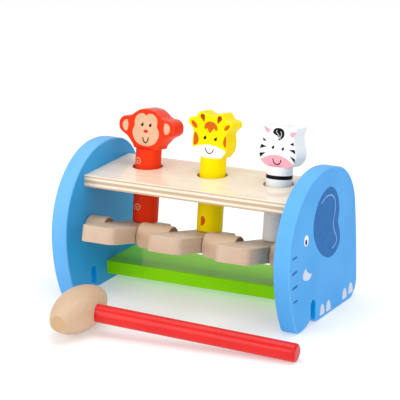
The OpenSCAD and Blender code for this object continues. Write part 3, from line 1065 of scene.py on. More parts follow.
@dataclass
class SidePanel:
    """Elephant side panel with its printed ear, eye, tusk, wrinkles and nails."""

    shop: Workshop
    side: Side
    length: float = 226.0
    thickness: float = 15.0
    depth: float = 134.5
    height: float = 128.0
    brow: float = 70.0
    back: float = 101.0
    rump: float = 46.0
    flank: float = 660.0
    heel: float = 15.5
    trunk: float = 118.0
    tip: float = 9.0
    sole: float = 47.0
    slot_front: float = 42.2
    slot_width: float = 8.5
    slot_height: float = 21.0
    toe: float = 4.0
    edge: float = 1.25
    recess: float = 0.14
    rim_wear: float = 0.7
    # Painted highlight on the wall between the rims: pale at the floor, growing by paler to the top.
    pale: float = 0.1
    paler: float = 0.45
    # Rim value of the inner face: painted shade.
    inner: float = -0.6
    slack: float = 0.1

    def outline(self) -> Array:
        """Side view: arcs of brow, trunk, tip, sole, slot, toe, heel, flank, rump and back.

        The rump touches flank and back from inside, so its middle lies flank - rump from the
        middle of the flank and back - rump from the middle of the back.

        Returns:
            Points (Y, Z), counterclockwise.
        """
        brow = (self.brow, self.height - self.brow)
        back = np.array([self.brow, self.height - self.back])
        flank = np.array([self.depth - self.flank, self.heel])
        span = back - flank
        apart = np.linalg.norm(span)
        to_flank, to_back = self.flank - self.rump, self.back - self.rump
        along = (to_flank**2 - to_back**2 + apart**2) / (2 * apart)
        aside = math.sqrt(to_flank**2 - along**2)
        rump = flank + (along * span + aside * np.array([-span[1], span[0]])) / apart
        flank_turn = math.degrees(math.atan2(*(rump - flank)[::-1]))
        rump_turn = math.degrees(math.atan2(*(rump - back)[::-1]))
        fall = brow[1] - self.tip
        tip_run = math.sqrt((self.trunk - self.tip) ** 2 - fall**2)
        tip_turn = math.degrees(math.atan2(fall, tip_run))
        tip = (self.trunk - tip_run, self.tip)
        sole_turn = math.degrees(math.asin((self.slot_front - tip[0]) / self.sole))
        slot = (self.slot_front + self.slot_width / 2, self.slot_height - self.slot_width / 2)
        toe = (self.slot_front + self.slot_width + self.toe, self.toe)
        heel = (self.depth - self.heel, self.heel)
        parts = [
            arc(brow, self.brow, 90, 180, 72),
            arc((self.trunk, brow[1]), self.trunk, 180, 180 + tip_turn, 36),
            arc(tip, self.tip, 180 + tip_turn, 270, 14),
            arc((tip[0], self.sole), self.sole, 270, 270 + sole_turn, 18),
            arc(slot, self.slot_width / 2, 180, 0, 20),
            arc(toe, self.toe, 180, 270, 10),
            arc(heel, self.heel, 270, 360, 20),
            arc(flank, self.flank, 0, flank_turn, 24),
            arc(rump, self.rump, flank_turn, rump_turn, 48),
            arc(back, self.back, rump_turn, 90, 24),
        ]
        return chained(parts)

    def wear_and_painted_light(self, line: Array) -> Array:
        """Rim values: even rubbing on the rims, painted highlight growing with height on the wall, and
        painted shade, -1, in the slot.

        Args:
            line: Outline of the panel.

        Returns:
            Values of rims and wall, shape (2, n).
        """
        half = self.slot_width / 2
        between = abs(line[:, 0] - self.slot_front - half) < half + self.slack
        below = line[:, 1] < self.slot_height + self.slack
        rims = np.full(len(line), self.rim_wear)
        # Painted highlight on the wall, growing with height.
        walls = self.pale + self.paler * line[:, 1] / self.height
        return np.where(between & below, -1.0, [rims, walls])

    def lift(self, flat: Array, height: Array) -> Array:
        """Side view and height over the inner face to bench millimetres."""
        across = self.side.value * (self.length / 2 - self.thickness + height)
        return np.column_stack([across, flat])

    def print_lift(self, flat: Array, height: Array) -> Array:
        """Side view and height over the outer face to bench millimetres."""
        return self.lift(flat, height + self.thickness - self.recess)

    def build(self, paint: Material) -> None:
        """Makes the panel and its prints.

        Args:
            paint: Paint of the panel.
        """
        name = self.side.name.lower()
        line = self.outline()
        thickness = self.thickness - self.recess
        board = rounded_board(line, thickness, self.edge, self.lift, self.wear_and_painted_light(line))
        # Painted shade on the inner face.
        board.rim[: len(line)] = self.inner
        panel = self.shop.piece(f"{name}_elephant_panel", board, paint, "bench")
        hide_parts(f"{name}_panel")
        self.shop.lay(name, self.prints(), "bench")

    def prints(self) -> list[Print]:
        """Lays the prints of the outer face.

        Returns:
            Ear with its fold, eye, tusk, wrinkles and nails.
        """
        press = Press(self.print_lift)
        ear = [
            (79.7, 111.2), (89.8, 105.5), (96.0, 95.1), (97.2, 86.0), (94.8, 76.2), (98.0, 67.9),
            (98.7, 59.6), (93.7, 53.0), (84.7, 49.6), (74.7, 50.4), (62.7, 56.1), (52.7, 65.9),
            (46.9, 76.3), (46.4, 86.8), (50.4, 96.6), (57.6, 105.0), (67.5, 110.2),
        ]
        fold = [
            (62.0, 101.4), (69.9, 104.4), (79.8, 103.9), (87.4, 99.0), (89.0, 91.0), (87.1, 83.8),
            (85.0, 77.6), (87.4, 70.1), (91.4, 64.0), (90.6, 58.8), (83.6, 56.2),
        ]
        tusk = [
            through([(31.5, 53.6), (35.0, 48.9), (43.4, 45.1)]),
            through(
                [(43.4, 45.1), (38.6, 41.9), (31.6, 42.6), (26.6, 45.3), (26.2, 49.4), (31.5, 53.6)]
            ),
        ]
        wrinkles = [
            ((6.8, 68.3), (14.0, 68.1), 1.9),
            ((6.0, 55.1), (14.0, 55.8), 2.3),
            ((6.9, 42.7), (15.0, 43.0), 2.3),
            ((8.9, 30.3), (15.2, 30.4), 1.9),
        ]
        lines = [press.stroke(np.linspace(start, end, 8), width) for start, end, width in wrinkles]
        nails = [(63.9, 3.6), (76.3, 3.4), (109.1, 4.2), (121.6, 5.4)]
        return [
            ("ear_print", [press.blob(ear)], InkColour.EAR_BLUE),
            ("ear_fold_print", [press.stroke(through(fold), width=0.85, layer=2)], InkColour.LINE_BLUE),
            ("eye_white_print", [press.patch(ellipse((32.3, 77.0), (4.1, 4.7)))], InkColour.WHITE),
            ("pupil_print", [press.patch(ellipse((31.9, 75.8), (1.95, 2.5)), layer=2)], InkColour.BLACK),
            ("tusk_print", [press.patch(chained(tusk))], InkColour.NAIL),
            ("trunk_wrinkle_prints", lines, InkColour.EAR_BLUE),
            ("nail_prints", [press.patch(self.nail(place)) for place in nails], InkColour.NAIL),
        ]

    @staticmethod
    def nail(place: Pair, half: float = 4.6, high: float = 8.8, sag: float = 0.9) -> Array:
        """Arch of a nail: half an ellipse over a nearly straight base.

        Args:
            place: Middle of the base.
            half: Half width.
            high: Height.
            sag: How far the base bends down.

        Returns:
            The outline.
        """
        angles = np.radians(np.linspace(0, 180, 29))
        arch = np.stack([half * np.cos(angles), high * np.sin(angles)], -1)
        base = np.radians(np.linspace(180, 360, 15)[1:-1])
        foot = np.stack([half * np.cos(base), sag * np.sin(base)], -1)
        return np.array(place) + np.vstack([arch, foot])


@dataclass
class Boards:
    """Plywood top board, green base board, and the dowels and pins of the joints."""

    shop: Workshop
    pinned: tuple[str, ...] = ("monkey", "giraffe", "zebra")

    def build(self) -> None:
        """Dresses the boards, then the dowels and the neck pins."""
        birch = (srgb(251, 236, 213), srgb(239, 216, 188), srgb(200, 174, 144), srgb(192, 156, 120))
        ply = Plywood("lacquered_birch_plywood", *birch, BOARD_MIDDLE)
        self.shop.dress(["top_board"], ply.material())
        lime = (srgb(140, 224, 0), srgb(130, 217, 0), srgb(170, 234, 40))
        green = Paint("green_board_paint", *lime, coat=0.15, top_coat=0.45, gloss=0.07, shine=0.02)
        self.shop.dress(["base_board"], green.material())
        wood = Timber.beech("pin_wood", Grain.ALONG_BENCH).material()
        pins = [f"{animal}_neck_pin" for animal in self.pinned]
        self.shop.dress(["top_board_dowels", "base_board_dowels", *pins], wood)


@dataclass
class LeverRow:
    """Three beech levers on the axle rod, with the spacers and rods around them."""

    shop: Workshop
    width: float = 32.0
    thickness: float = 14.2
    front: float = 51.4
    back: float = 56.0
    corner: float = 7.5
    tail: float = 3.0
    edge: float = 1.0
    slope: float = 13.3
    axle: Pair = (40.3, 58.0)
    bore: float = 6.16
    bore_steps: int = 48
    spacer_ends: tuple[float, ...] = (16.3, 46.81, 79.41, 97.7)

    def outline(self) -> tuple[Array, Array]:
        """Plan view with two extra points on each long side, beside the bore.

        Returns:
            Points, counterclockwise, and a flag on those that start a gap for the bore.
        """
        beside = self.thickness / 2 - self.edge
        half = self.width / 2
        nose = (half - self.corner, self.corner - self.front)
        tail = (half - self.tail, self.back - self.tail)
        right = np.array([[half, -beside], [half, beside]])
        left = np.array([[-half, beside], [-half, -beside]])
        parts = [
            arc(nose, self.corner, 270, 360, 24),
            right,
            arc(tail, self.tail, 0, 90, 12),
            arc((-tail[0], tail[1]), self.tail, 90, 180, 12),
            left,
            arc((-nose[0], nose[1]), self.corner, 180, 270, 24),
        ]
        line = chained(parts)
        starts = np.array([right[0], left[0]])
        near = np.linalg.norm(line[:, None, :] - starts[None], axis=2).min(1) < SAME_POINT
        return line, near

    def lift(self, station: Station) -> Lift:
        """Plan view and height of one lever to bench millimetres, sloping down to the back.

        Args:
            station: Place of the lever.

        Returns:
            The function.
        """
        cos, sin = math.cos(math.radians(self.slope)), math.sin(math.radians(self.slope))

        def place(flat: Array, height: Array) -> Array:
            """Turns by the slope about the axle.

            Args:
                flat: Plan view from the axle.
                height: Height over the underside.

            Returns:
                Points in bench millimetres.
            """
            up = height - self.thickness / 2
            along = self.axle[0] + flat[:, 1] * cos + up * sin
            rise = self.axle[1] - flat[:, 1] * sin + up * cos
            return np.column_stack([flat[:, 0] + station.across(), along, rise])

        return place

    def skin(self, station: Station) -> Skin:
        """Lever with its bore: a rounded board whose two side walls have a round hole.

        Beside the bore a wall is two flat faces, each from two corners round half the hole.

        Args:
            station: Place of the lever.

        Returns:
            The lever.
        """
        line, near = self.outline()
        lift = self.lift(station)
        board = rounded_board(line, self.thickness, self.edge, lift)
        columns = len(line)
        rows = len(board.points) // columns
        wall = rows // 2 - 1
        cut = {wall * columns + int(i) for i in np.flatnonzero(near)}
        faces = [face for face in board.faces if len(face) != 4 or face[0] not in cut]
        angles = np.radians(45) + np.linspace(0, 2 * np.pi, self.bore_steps, endpoint=False)
        ring = self.bore / 2 * np.stack([np.cos(angles), np.sin(angles)], -1)
        points = [board.points]
        start = len(board.points)
        half_turn = self.bore_steps // 2
        for column in np.flatnonzero(near):
            x = line[column, 0]
            flat = np.column_stack([np.full(self.bore_steps, x), ring[:, 0]])
            points.append(lift(flat, ring[:, 1] + self.thickness / 2))
            low = [wall * columns + int(column), wall * columns + int(column) + 1]
            high = [low[0] + columns, low[1] + columns]
            by_place = low + high if line[column + 1, 1] > line[column, 1] else low[::-1] + high[::-1]
            back_low, front_low, back_high, front_high = by_place
            hole = list(range(start, start + self.bore_steps))
            first = hole[half_turn:] + hole[:1]
            second = hole[: half_turn + 1]
            faces.append([back_low, front_low, front_high] + first[::-1])
            faces.append([front_high, back_high, back_low] + second[::-1])
            start += self.bore_steps
        one = np.arange(self.bore_steps) + len(board.points)
        after = np.roll(one, -1)
        tube = np.stack([one, after, after + self.bore_steps, one + self.bore_steps], -1)
        faces += tube.tolist()
        rim = np.concatenate([board.rim, np.zeros(2 * self.bore_steps)])
        return Skin(np.concatenate(points), faces, rim)

    def build(self) -> None:
        """Makes the levers and dresses spacers and rods."""
        steel = Steel("bright_steel_rod", srgb(206, 208, 212), srgb(176, 178, 184)).material()
        middle = Grain.ALONG_BENCH.along(self.shop.axes.place(np.zeros(3)) / MM)
        ends = Ends(middle, self.spacer_ends, srgb(112, 80, 58))
        turned = Timber.beech("spacer_beech", Grain.ALONG_BENCH, tone=(0.9, 0.85, 0.77), ends=ends)
        spacer_wood = turned.material()
        wood = Timber.beech("lever_beech", Grain.ALONG_LEVER, tone=(0.775, 0.758, 0.72)).material()
        for station in Station:
            name = station.name.lower()
            lever = self.shop.piece(f"{name}_beech_lever", self.skin(station), wood, f"{name}_lever")
            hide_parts(f"{name}_lever")
        spacers = ["left_end_spacer", "left_spacer", "right_spacer", "right_end_spacer"]
        self.shop.dress(spacers, spacer_wood)
        self.shop.dress(["axle_rod", "stop_rod"], steel)


@dataclass
class Figure:
    """Animal on a peg: a shaped head, a round peg and the prints on both.

    The shares give the right half of the head's outline, as shares of half its width and of its
    height.
    """

    shop: Workshop
    name: str
    slot: str
    station: Station
    turn: float
    width: float
    height: float
    shift: float
    shares: Points
    row: float = 82.2
    lean: float = 8.0
    seat: float = 20.75
    seat_width: float = 24.0
    thickness: float = 17.0
    set_back: float = 1.0
    edge: float = 1.0
    peg_radius: float = 11.25
    peg_fill: int = 6
    board_top: float = 5.25
    chin_inset: float = 0.08
    chin_tuck: float = 0.2
    zone_depth: float = 1.1

    def hole(self) -> Array:
        """Middle of the peg's hole in the top board, in bench millimetres."""
        return np.array([self.station.across(), self.row, BOARD_MIDDLE])

    def stand(self, local: Array) -> Array:
        """Peg axes to bench millimetres: a turn about the peg, the lean, and the place.

        Args:
            local: Points in peg axes.

        Returns:
            Points in bench millimetres.
        """
        turn = np.array(Matrix.Rotation(math.radians(self.turn), 3, "Z"))
        lean = np.array(Matrix.Rotation(-math.radians(self.lean), 3, "X"))
        return local @ (lean @ turn).T + self.hole()

    def head_lift(self, flat: Array, height: Array) -> Array:
        """Front view of the head, from its seat up, and height from the back face."""
        deep = self.set_back + self.thickness / 2 - height
        return self.stand(np.column_stack([flat[:, 0] + self.shift, deep, flat[:, 1] + self.seat]))

    def face_lift(self, flat: Array, height: Array) -> Array:
        """Front view, measured up from the top of the board, and height over the face."""
        deep = self.set_back - self.thickness / 2 - height
        return self.stand(np.column_stack([flat[:, 0], deep, flat[:, 1] + self.board_top]))

    def peg_lift(self, flat: Array, height: Array) -> Array:
        """Bends a flat print round the peg.

        Args:
            flat: Way round the peg from its front, and place along it.
            height: Height over its surface.

        Returns:
            Points in bench millimetres.
        """
        radius = self.peg_radius + height
        angle = flat[:, 0] / self.peg_radius
        local = [radius * np.sin(angle), -radius * np.cos(angle), flat[:, 1]]
        return self.stand(np.column_stack(local))

    def seat_lift(self, flat: Array, height: Array) -> Array:
        """Plan view in peg axes and height over the flat top of the peg."""
        return self.stand(np.column_stack([flat, self.seat + height]))

    def chin(self) -> Skin:
        """Print on the part of the peg's top that shows in front of the head: a segment of a circle.

        Returns:
            The film.
        """
        radius = self.peg_radius - self.chin_inset
        face = self.thickness / 2 - self.set_back - self.chin_tuck
        half = math.degrees(math.acos(face / radius))
        return Press(self.seat_lift).patch(arc((0.0, 0.0), radius, 270 - half, 270 + half, 40))

    def outline(self) -> Array:
        """Front view of the head: the flat seat and a smooth curve through the shares.

        Returns:
            Points, counterclockwise.
        """
        side = [(x * self.width / 2, y * self.height) for x, y in self.shares]
        half = np.vstack([[[self.seat_width / 2, 0.0]], through(side, 10)])
        return chained([half, half[::-1] * [-1, 1]])

    def zone(self, colour: Colour, top: float, bend: float, middle: float) -> Zone:
        """Second colour on the front of the head.

        Args:
            colour: Its colour.
            top: Its highest place over the top of the board.
            bend: Bend of its upper edge.
            middle: Where it is highest.

        Returns:
            The zone, in axes that undo the lean and the turn of the peg.
        """
        turn_back = Matrix.Rotation(-math.radians(self.turn), 3, "Z")
        undo = turn_back @ Matrix.Rotation(math.radians(self.lean), 3, "X")
        shift = -(np.array(undo) @ (self.shop.axes.place(self.hole()) / MM))
        shift[2] -= self.board_top
        angles = tuple(math.degrees(angle) for angle in undo.to_euler("XYZ"))
        depth = self.set_back - self.thickness / 2 + self.zone_depth
        return Zone(colour, top, bend, middle, angles, tuple(shift.tolist()), depth)

    def build(self) -> None:
        """Makes the head and its prints and dresses the peg."""
        body = f"{self.name}_figure"
        head_paint, peg_paint = self.paints()
        board = rounded_board(self.outline(), self.thickness, self.edge, self.head_lift)
        head = self.shop.piece(f"{self.name}_shaped_head", board, head_paint, body)
        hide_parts(f"{self.name}_head")
        self.shop.dress([f"{self.name}_peg"], peg_paint)
        prints = self.prints(Press(self.face_lift), Press(self.peg_lift, fill=self.peg_fill))
        self.shop.lay(self.name, prints, body)

    def paints(self) -> tuple[Material, Material]:
        """Mixes the paints of the head and of the peg."""
        raise NotImplementedError

    def prints(self, face: Press, peg: Press) -> list[Print]:
        """Lays the prints of the figure.

        Args:
            face: Press for the front of the head.
            peg: Press for the peg.

        Returns:
            The prints.
        """
        raise NotImplementedError


@dataclass
class Monkey(Figure):
    """Red monkey with a peach face and round ears."""

    name: str = "monkey"
    slot: str = "red_paint"
    station: Station = Station.LEFT
    turn: float = -2.0
    width: float = 55.5
    height: float = 35.5
    shift: float = 0.6
    shares: Points = (
        (0.472, 0.085), (0.56, 0.165), (0.64, 0.237), (0.722, 0.29), (0.85, 0.347), (0.948, 0.404),
        (0.99, 0.47), (1.0, 0.55), (0.978, 0.637), (0.905, 0.715), (0.785, 0.757), (0.66, 0.765),
        (0.54, 0.806), (0.425, 0.878), (0.25, 0.956), (0, 0.985),
    )

    def paints(self) -> tuple[Material, Material]:
        """Mixes the red paint of head and peg.

        Returns:
            Paints of the head and of the peg.
        """
        scarlet = (srgb(238, 62, 26), srgb(230, 52, 20), srgb(248, 112, 76))
        red = Paint("monkey_red_paint", *scarlet, shine=0.03, top_coat=0.9).material()
        return red, red

    def prints(self, face: Press, peg: Press) -> list[Print]:
        """Lays the prints of the monkey.

        Args:
            face: Press for the front of the head.
            peg: Press for the peg.

        Returns:
            Heart-topped face, inner ears, eyes, nose, smile and two spirals on the peg.
        """
        heart = [
            (0.1, 44.4), (2.4, 46.3), (6.4, 46.3), (10.1, 43.6), (11.3, 39.8), (11.0, 35.8),
            (13.0, 32.0), (13.3, 27.8), (10.6, 22.2), (6.0, 19.0), (0.4, 18.0), (-5.4, 19.0),
            (-10.0, 22.0), (-12.8, 27.4), (-12.7, 31.4), (-11.2, 35.0), (-11.3, 39.4), (-9.6, 43.4),
            (-6.0, 45.9), (-2.4, 46.0), (0.1, 44.4),
        ]
        left_ear = [
            (-18.6, 39.2), (-21.6, 38.2), (-23.3, 34.4), (-22.0, 30.6), (-18.8, 29.5),
            (-17.6, 34.4), (-18.6, 39.2),
        ]
        right_ear = [
            (18.6, 40.0), (22.2, 39.2), (24.0, 35.6), (22.8, 31.6), (19.6, 30.3),
            (17.9, 35.2), (18.6, 40.0),
        ]
        eyes = [face.patch(drop(place, (1.35, 1.9)), layer=2) for place in ((-3.6, 36.4), (4.3, 36.4))]
        smile = through([(-2.4, 25.2), (-1.5, 22.3), (0.5, 20.9), (2.3, 22.5), (3.1, 25.5)])
        spirals = [peg.stroke(self.spiral(place), width=0.68) for place in ((-4.1, 9.8), (-2.0, -30.6))]
        return [
            ("face_print", [face.pointed(heart)], InkColour.PEACH),
            ("inner_ear_prints", [face.pointed(ear) for ear in (left_ear, right_ear)], InkColour.PEACH),
            ("eye_prints", eyes, InkColour.BLACK),
            ("nose_print", [face.patch(ellipse((0.2, 30.9), (2.3, 1.45)), layer=2)], InkColour.NOSE_RED),
            ("smile_print", [face.stroke(smile, width=1.05, layer=2)], InkColour.SMILE),
            ("spiral_prints", spirals, InkColour.PEACH),
        ]

    @staticmethod
    def spiral(middle: Pair, turns: float = 1.6, inner: float = 0.12, outer: float = 4.0) -> Array:
        """Spiral whose radius grows evenly with the angle.

        Args:
            middle: Its middle.
            turns: Number of turns.
            inner: Share of the turns and of the radius where it starts.
            outer: Largest radius.

        Returns:
            Points of the path.
        """
        share = np.linspace(inner, 1, 64)
        angle = share * turns * 2 * np.pi
        return np.array(middle) + outer * share[:, None] * np.stack([np.cos(angle), np.sin(angle)], -1)


@dataclass
class Giraffe(Figure):
    """Yellow giraffe with an orange mop, patches and a white muzzle."""

    name: str = "giraffe"
    slot: str = "yellow_paint"
    station: Station = Station.MIDDLE
    turn: float = -5.0
    width: float = 44.6
    height: float = 38.8
    shift: float = -0.8
    shares: Points = (
        (0.61, 0.046), (0.73, 0.145), (0.77, 0.242), (0.785, 0.361), (0.758, 0.454), (0.749, 0.541),
        (0.807, 0.60), (0.897, 0.657), (0.973, 0.698), (1.0, 0.747), (0.978, 0.80), (0.90, 0.838),
        (0.762, 0.858), (0.664, 0.874), (0.596, 0.923), (0.53, 0.975), (0.43, 1.0), (0.31, 0.97),
        (0.22, 0.945), (0, 0.94),
    )

    def paints(self) -> tuple[Material, Material]:
        """Mixes the yellow paints, with the white muzzle on the head.

        Returns:
            Paints of the head and of the peg.
        """
        yellow = (srgb(252, 228, 0), srgb(248, 220, 0), srgb(255, 238, 50))
        muzzle = self.zone(srgb(250, 250, 248), top=26.3, bend=0.0146, middle=-0.5)
        head = Paint("giraffe_head_paint", *yellow, shine=0.04, top_coat=0.4, zone=muzzle).material()
        return head, Paint("giraffe_peg_paint", *yellow, shine=0.04).material()

    def prints(self, face: Press, peg: Press) -> list[Print]:
        """Lays the prints of the giraffe.

        Args:
            face: Press for the front of the head.
            peg: Press for the peg.

        Returns:
            Mop, inner ears, cheeks, horn marks, eyes, smile, a spot on the peg and the chin.
        """
        mop = [
            (-6.4, 40.9), (-5.4, 44.2), (-1.6, 46.3), (3.0, 45.8), (6.2, 43.0), (6.9, 40.4),
            (5.2, 38.9), (3.4, 40.6), (1.4, 38.6), (-0.5, 36.6), (-2.2, 38.4), (-3.2, 40.3),
            (-5.0, 39.2),
        ]
        cheeks = [
            [(-15.8, 35.6), (-13.4, 34.6), (-11.4, 30.0), (-12.6, 26.0), (-16.2, 24.8), (-16.6, 30.2)],
            [(15.0, 35.4), (13.2, 31.0), (13.8, 27.4), (15.8, 25.8), (16.2, 29.4), (16.0, 33.4)],
        ]
        left_horn = [
            (-10.6, 51.3), (-8.4, 52.2), (-6.6, 50.8), (-6.3, 48.0), (-7.1, 45.2), (-8.6, 47.2),
            (-10.7, 49.0),
        ]
        right_horn = [
            (10.2, 51.3), (10.6, 49.0), (8.6, 47.0), (7.0, 45.2), (6.2, 48.0), (6.5, 50.8), (8.2, 52.2),
        ]
        spot = [
            (-2.2, -30.6), (0.0, -29.8), (1.7, -32.0), (1.8, -35.0), (0.2, -37.4), (-2.0, -38.2),
            (-2.5, -34.2),
        ]
        ears = [
            face.patch(ellipse((-16.6, 42.4), (4.0, 2.0), -43)),
            face.patch(ellipse((16.2, 42.9), (3.4, 1.7), 43)),
        ]
        eyes = [face.patch(drop(place, (1.5, 1.9))) for place in ((-5.3, 31.9), (5.4, 31.7))]
        smile = through([(-4.5, 23.0), (-2.6, 20.0), (0.0, 18.9), (2.4, 20.0), (3.9, 22.6)])
        return [
            ("mop_print", [face.blob(mop)], InkColour.ORANGE),
            ("inner_ear_prints", ears, InkColour.ORANGE),
            ("cheek_prints", [face.blob(cheek) for cheek in cheeks], InkColour.ORANGE),
            ("horn_prints", [face.blob(horn) for horn in (left_horn, right_horn)], InkColour.HORN),
            ("eye_prints", eyes, InkColour.BLACK),
            ("smile_print", [face.stroke(smile, width=0.95)], InkColour.SMILE),
            ("spot_print", [peg.blob(spot)], InkColour.ORANGE),
            ("chin_print", [self.chin()], InkColour.WHITE),
        ]


@dataclass
class Zebra(Figure):
    """White zebra with black stripes, a tuft and a pink muzzle."""

    name: str = "zebra"
    slot: str = "white_paint"
    station: Station = Station.RIGHT
    turn: float = -7.0
    width: float = 37.4
    height: float = 34.9
    shift: float = 1.3
    shares: Points = (
        (0.76, 0.045), (0.875, 0.106), (0.96, 0.186), (1.0, 0.287), (0.981, 0.401), (0.912, 0.527),
        (0.864, 0.628), (0.832, 0.731), (0.853, 0.822), (0.933, 0.946), (0.92, 0.99), (0.80, 1.00),
        (0.66, 0.955), (0.50, 0.945), (0.33, 0.965), (0, 0.985),
    )
    edge: float = 0.6
    ring: Pair = (10.0, 13.3)

    def paints(self) -> tuple[Material, Material]:
        """Mixes the white paints, with the pink muzzle on the head.

        Returns:
            Paints of the head and of the peg.
        """
        white = (srgb(240, 241, 243), srgb(230, 232, 236), srgb(252, 252, 252))
        snout = self.zone(srgb(244, 169, 182), top=25.2, bend=0.0225, middle=0.8)
        head = Paint("zebra_head_paint", *white, zone=snout).material()
        return head, Paint("zebra_peg_paint", *white).material()

    def prints(self, face: Press, peg: Press) -> list[Print]:
        """Lays the prints of the zebra.

        Args:
            face: Press for the front of the head.
            peg: Press for the peg.

        Returns:
            Tuft with pale strands, stripes, inner ears, eyes, smile, a ring on the peg and the chin.
        """
        tuft = [
            (0.4, 48.2), (-2.4, 47.2), (-4.0, 45.2), (-4.0, 43.7), (-2.6, 42.4), (0.1, 41.6),
            (1.5, 40.3), (1.7, 39.0), (1.5, 37.9), (2.8, 38.0), (5.0, 39.5), (6.9, 41.8),
            (7.1, 44.3), (6.2, 46.6), (3.8, 48.0),
        ]
        strands = [
            [(-0.2, 46.3), (-0.9, 44.9), (0.6, 43.2), (2.1, 41.4), (2.4, 39.3)],
            [(3.5, 45.3), (4.3, 43.6), (3.7, 40.9), (2.9, 39.2)],
        ]
        wedges = [
            [(-13.8, 38.6), (-13.6, 36.0), (-9.8, 35.7)],
            [(-15.2, 32.7), (-16.5, 29.0), (-9.7, 31.2)],
            [(-16.7, 25.0), (-15.6, 21.5), (-10.6, 26.2)],
            [(16.6, 37.8), (17.3, 34.9), (12.9, 35.6)],
            [(18.3, 31.7), (19.2, 28.1), (12.5, 31.0)],
            [(19.2, 23.9), (18.8, 20.5), (13.5, 25.9)],
        ]
        left_ear = [
            (-13.5, 48.3), (-10.3, 47.3), (-7.2, 45.7), (-7.5, 44.5), (-9.5, 43.0), (-11.3, 44.4),
            (-12.9, 46.6),
        ]
        right_ear = [
            (12.3, 44.7), (15.1, 46.1), (18.3, 46.5), (18.2, 45.0), (17.5, 43.4), (15.3, 41.7),
            (13.5, 42.9),
        ]
        eyes = [face.patch(drop(place, (1.3, 1.75))) for place in ((-3.5, 31.2), (6.3, 30.9))]
        smile = through([(-2.9, 21.3), (-1.4, 18.3), (1.6, 17.2), (4.2, 18.5), (5.3, 21.3)])
        pale = [face.stroke(through(strand), width=0.42, layer=2) for strand in strands]
        band = peg.band(*self.ring, 2 * np.pi * self.peg_radius)
        return [
            ("tuft_print", [face.blob(tuft)], InkColour.BLACK),
            ("tuft_strand_prints", pale, InkColour.WHITE),
            ("stripe_prints", [face.patch(self.wedge(wedge)) for wedge in wedges], InkColour.BLACK),
            ("inner_ear_prints", [face.blob(ear) for ear in (left_ear, right_ear)], InkColour.PINK),
            ("eye_prints", eyes, InkColour.BLACK),
            ("smile_print", [face.stroke(smile, width=1.0)], InkColour.SMILE),
            ("neck_ring_print", [band], InkColour.BLACK),
            ("chin_print", [self.chin()], InkColour.PINK),
        ]

    @staticmethod
    def wedge(corners: Points, sharp: float = 0.86) -> Array:
        """Triangle with rounded corners: each side keeps its middle, and curves join the sides.

        Args:
            corners: The three corners.
            sharp: Share of the way from a side's middle to a corner that stays straight.

        Returns:
            The outline.
        """
        corner = np.array(corners, float)
        before, after = np.roll(corner, 1, 0), np.roll(corner, -1, 0)
        start = before + (corner - before) * (0.5 + sharp / 2)
        end = after + (corner - after) * (0.5 + sharp / 2)
        t = np.linspace(0, 1, 8)[None, :, None]
        start, corner, end = start[:, None], corner[:, None], end[:, None]
        return ((1 - t) ** 2 * start + 2 * t * (1 - t) * corner + t**2 * end).reshape(-1, 2)


@dataclass
class Mallet:
    """Loose mallet: a barrel-shaped beech head on a red handle."""

    shop: Workshop
    head_middle: Triple = (-55.2, -53.8, 18.5)
    half_length: float = 39.5
    heart: Pair = (25.0, -60.0)

    def build(self) -> None:
        """Dresses the head and the handle."""
        grain = Grain.ALONG_MALLET_HEAD
        middle = grain.along(self.shop.axes.place(np.array(self.head_middle)) / MM)
        ends = Ends(middle, (self.half_length,), srgb(194, 158, 116))
        shades = (srgb(217, 188, 159), srgb(201, 168, 136), srgb(166, 124, 94))
        wood = Timber("mallet_head_beech", *shades, grain, self.heart, ends)
        self.shop.dress(["mallet_head"], wood.material())
        crimson = (srgb(220, 30, 28), srgb(212, 24, 24), srgb(248, 96, 92))
        paint = Paint("handle_red_paint", *crimson, coat=0.5, shine=0.04)
        self.shop.dress(["mallet_handle"], paint.material())


@dataclass(frozen=True)
class Softbox:
    """Square area light: place in bench axes and side in metres, power in watts."""

    name: str
    place: Triple
    side: float
    power: float


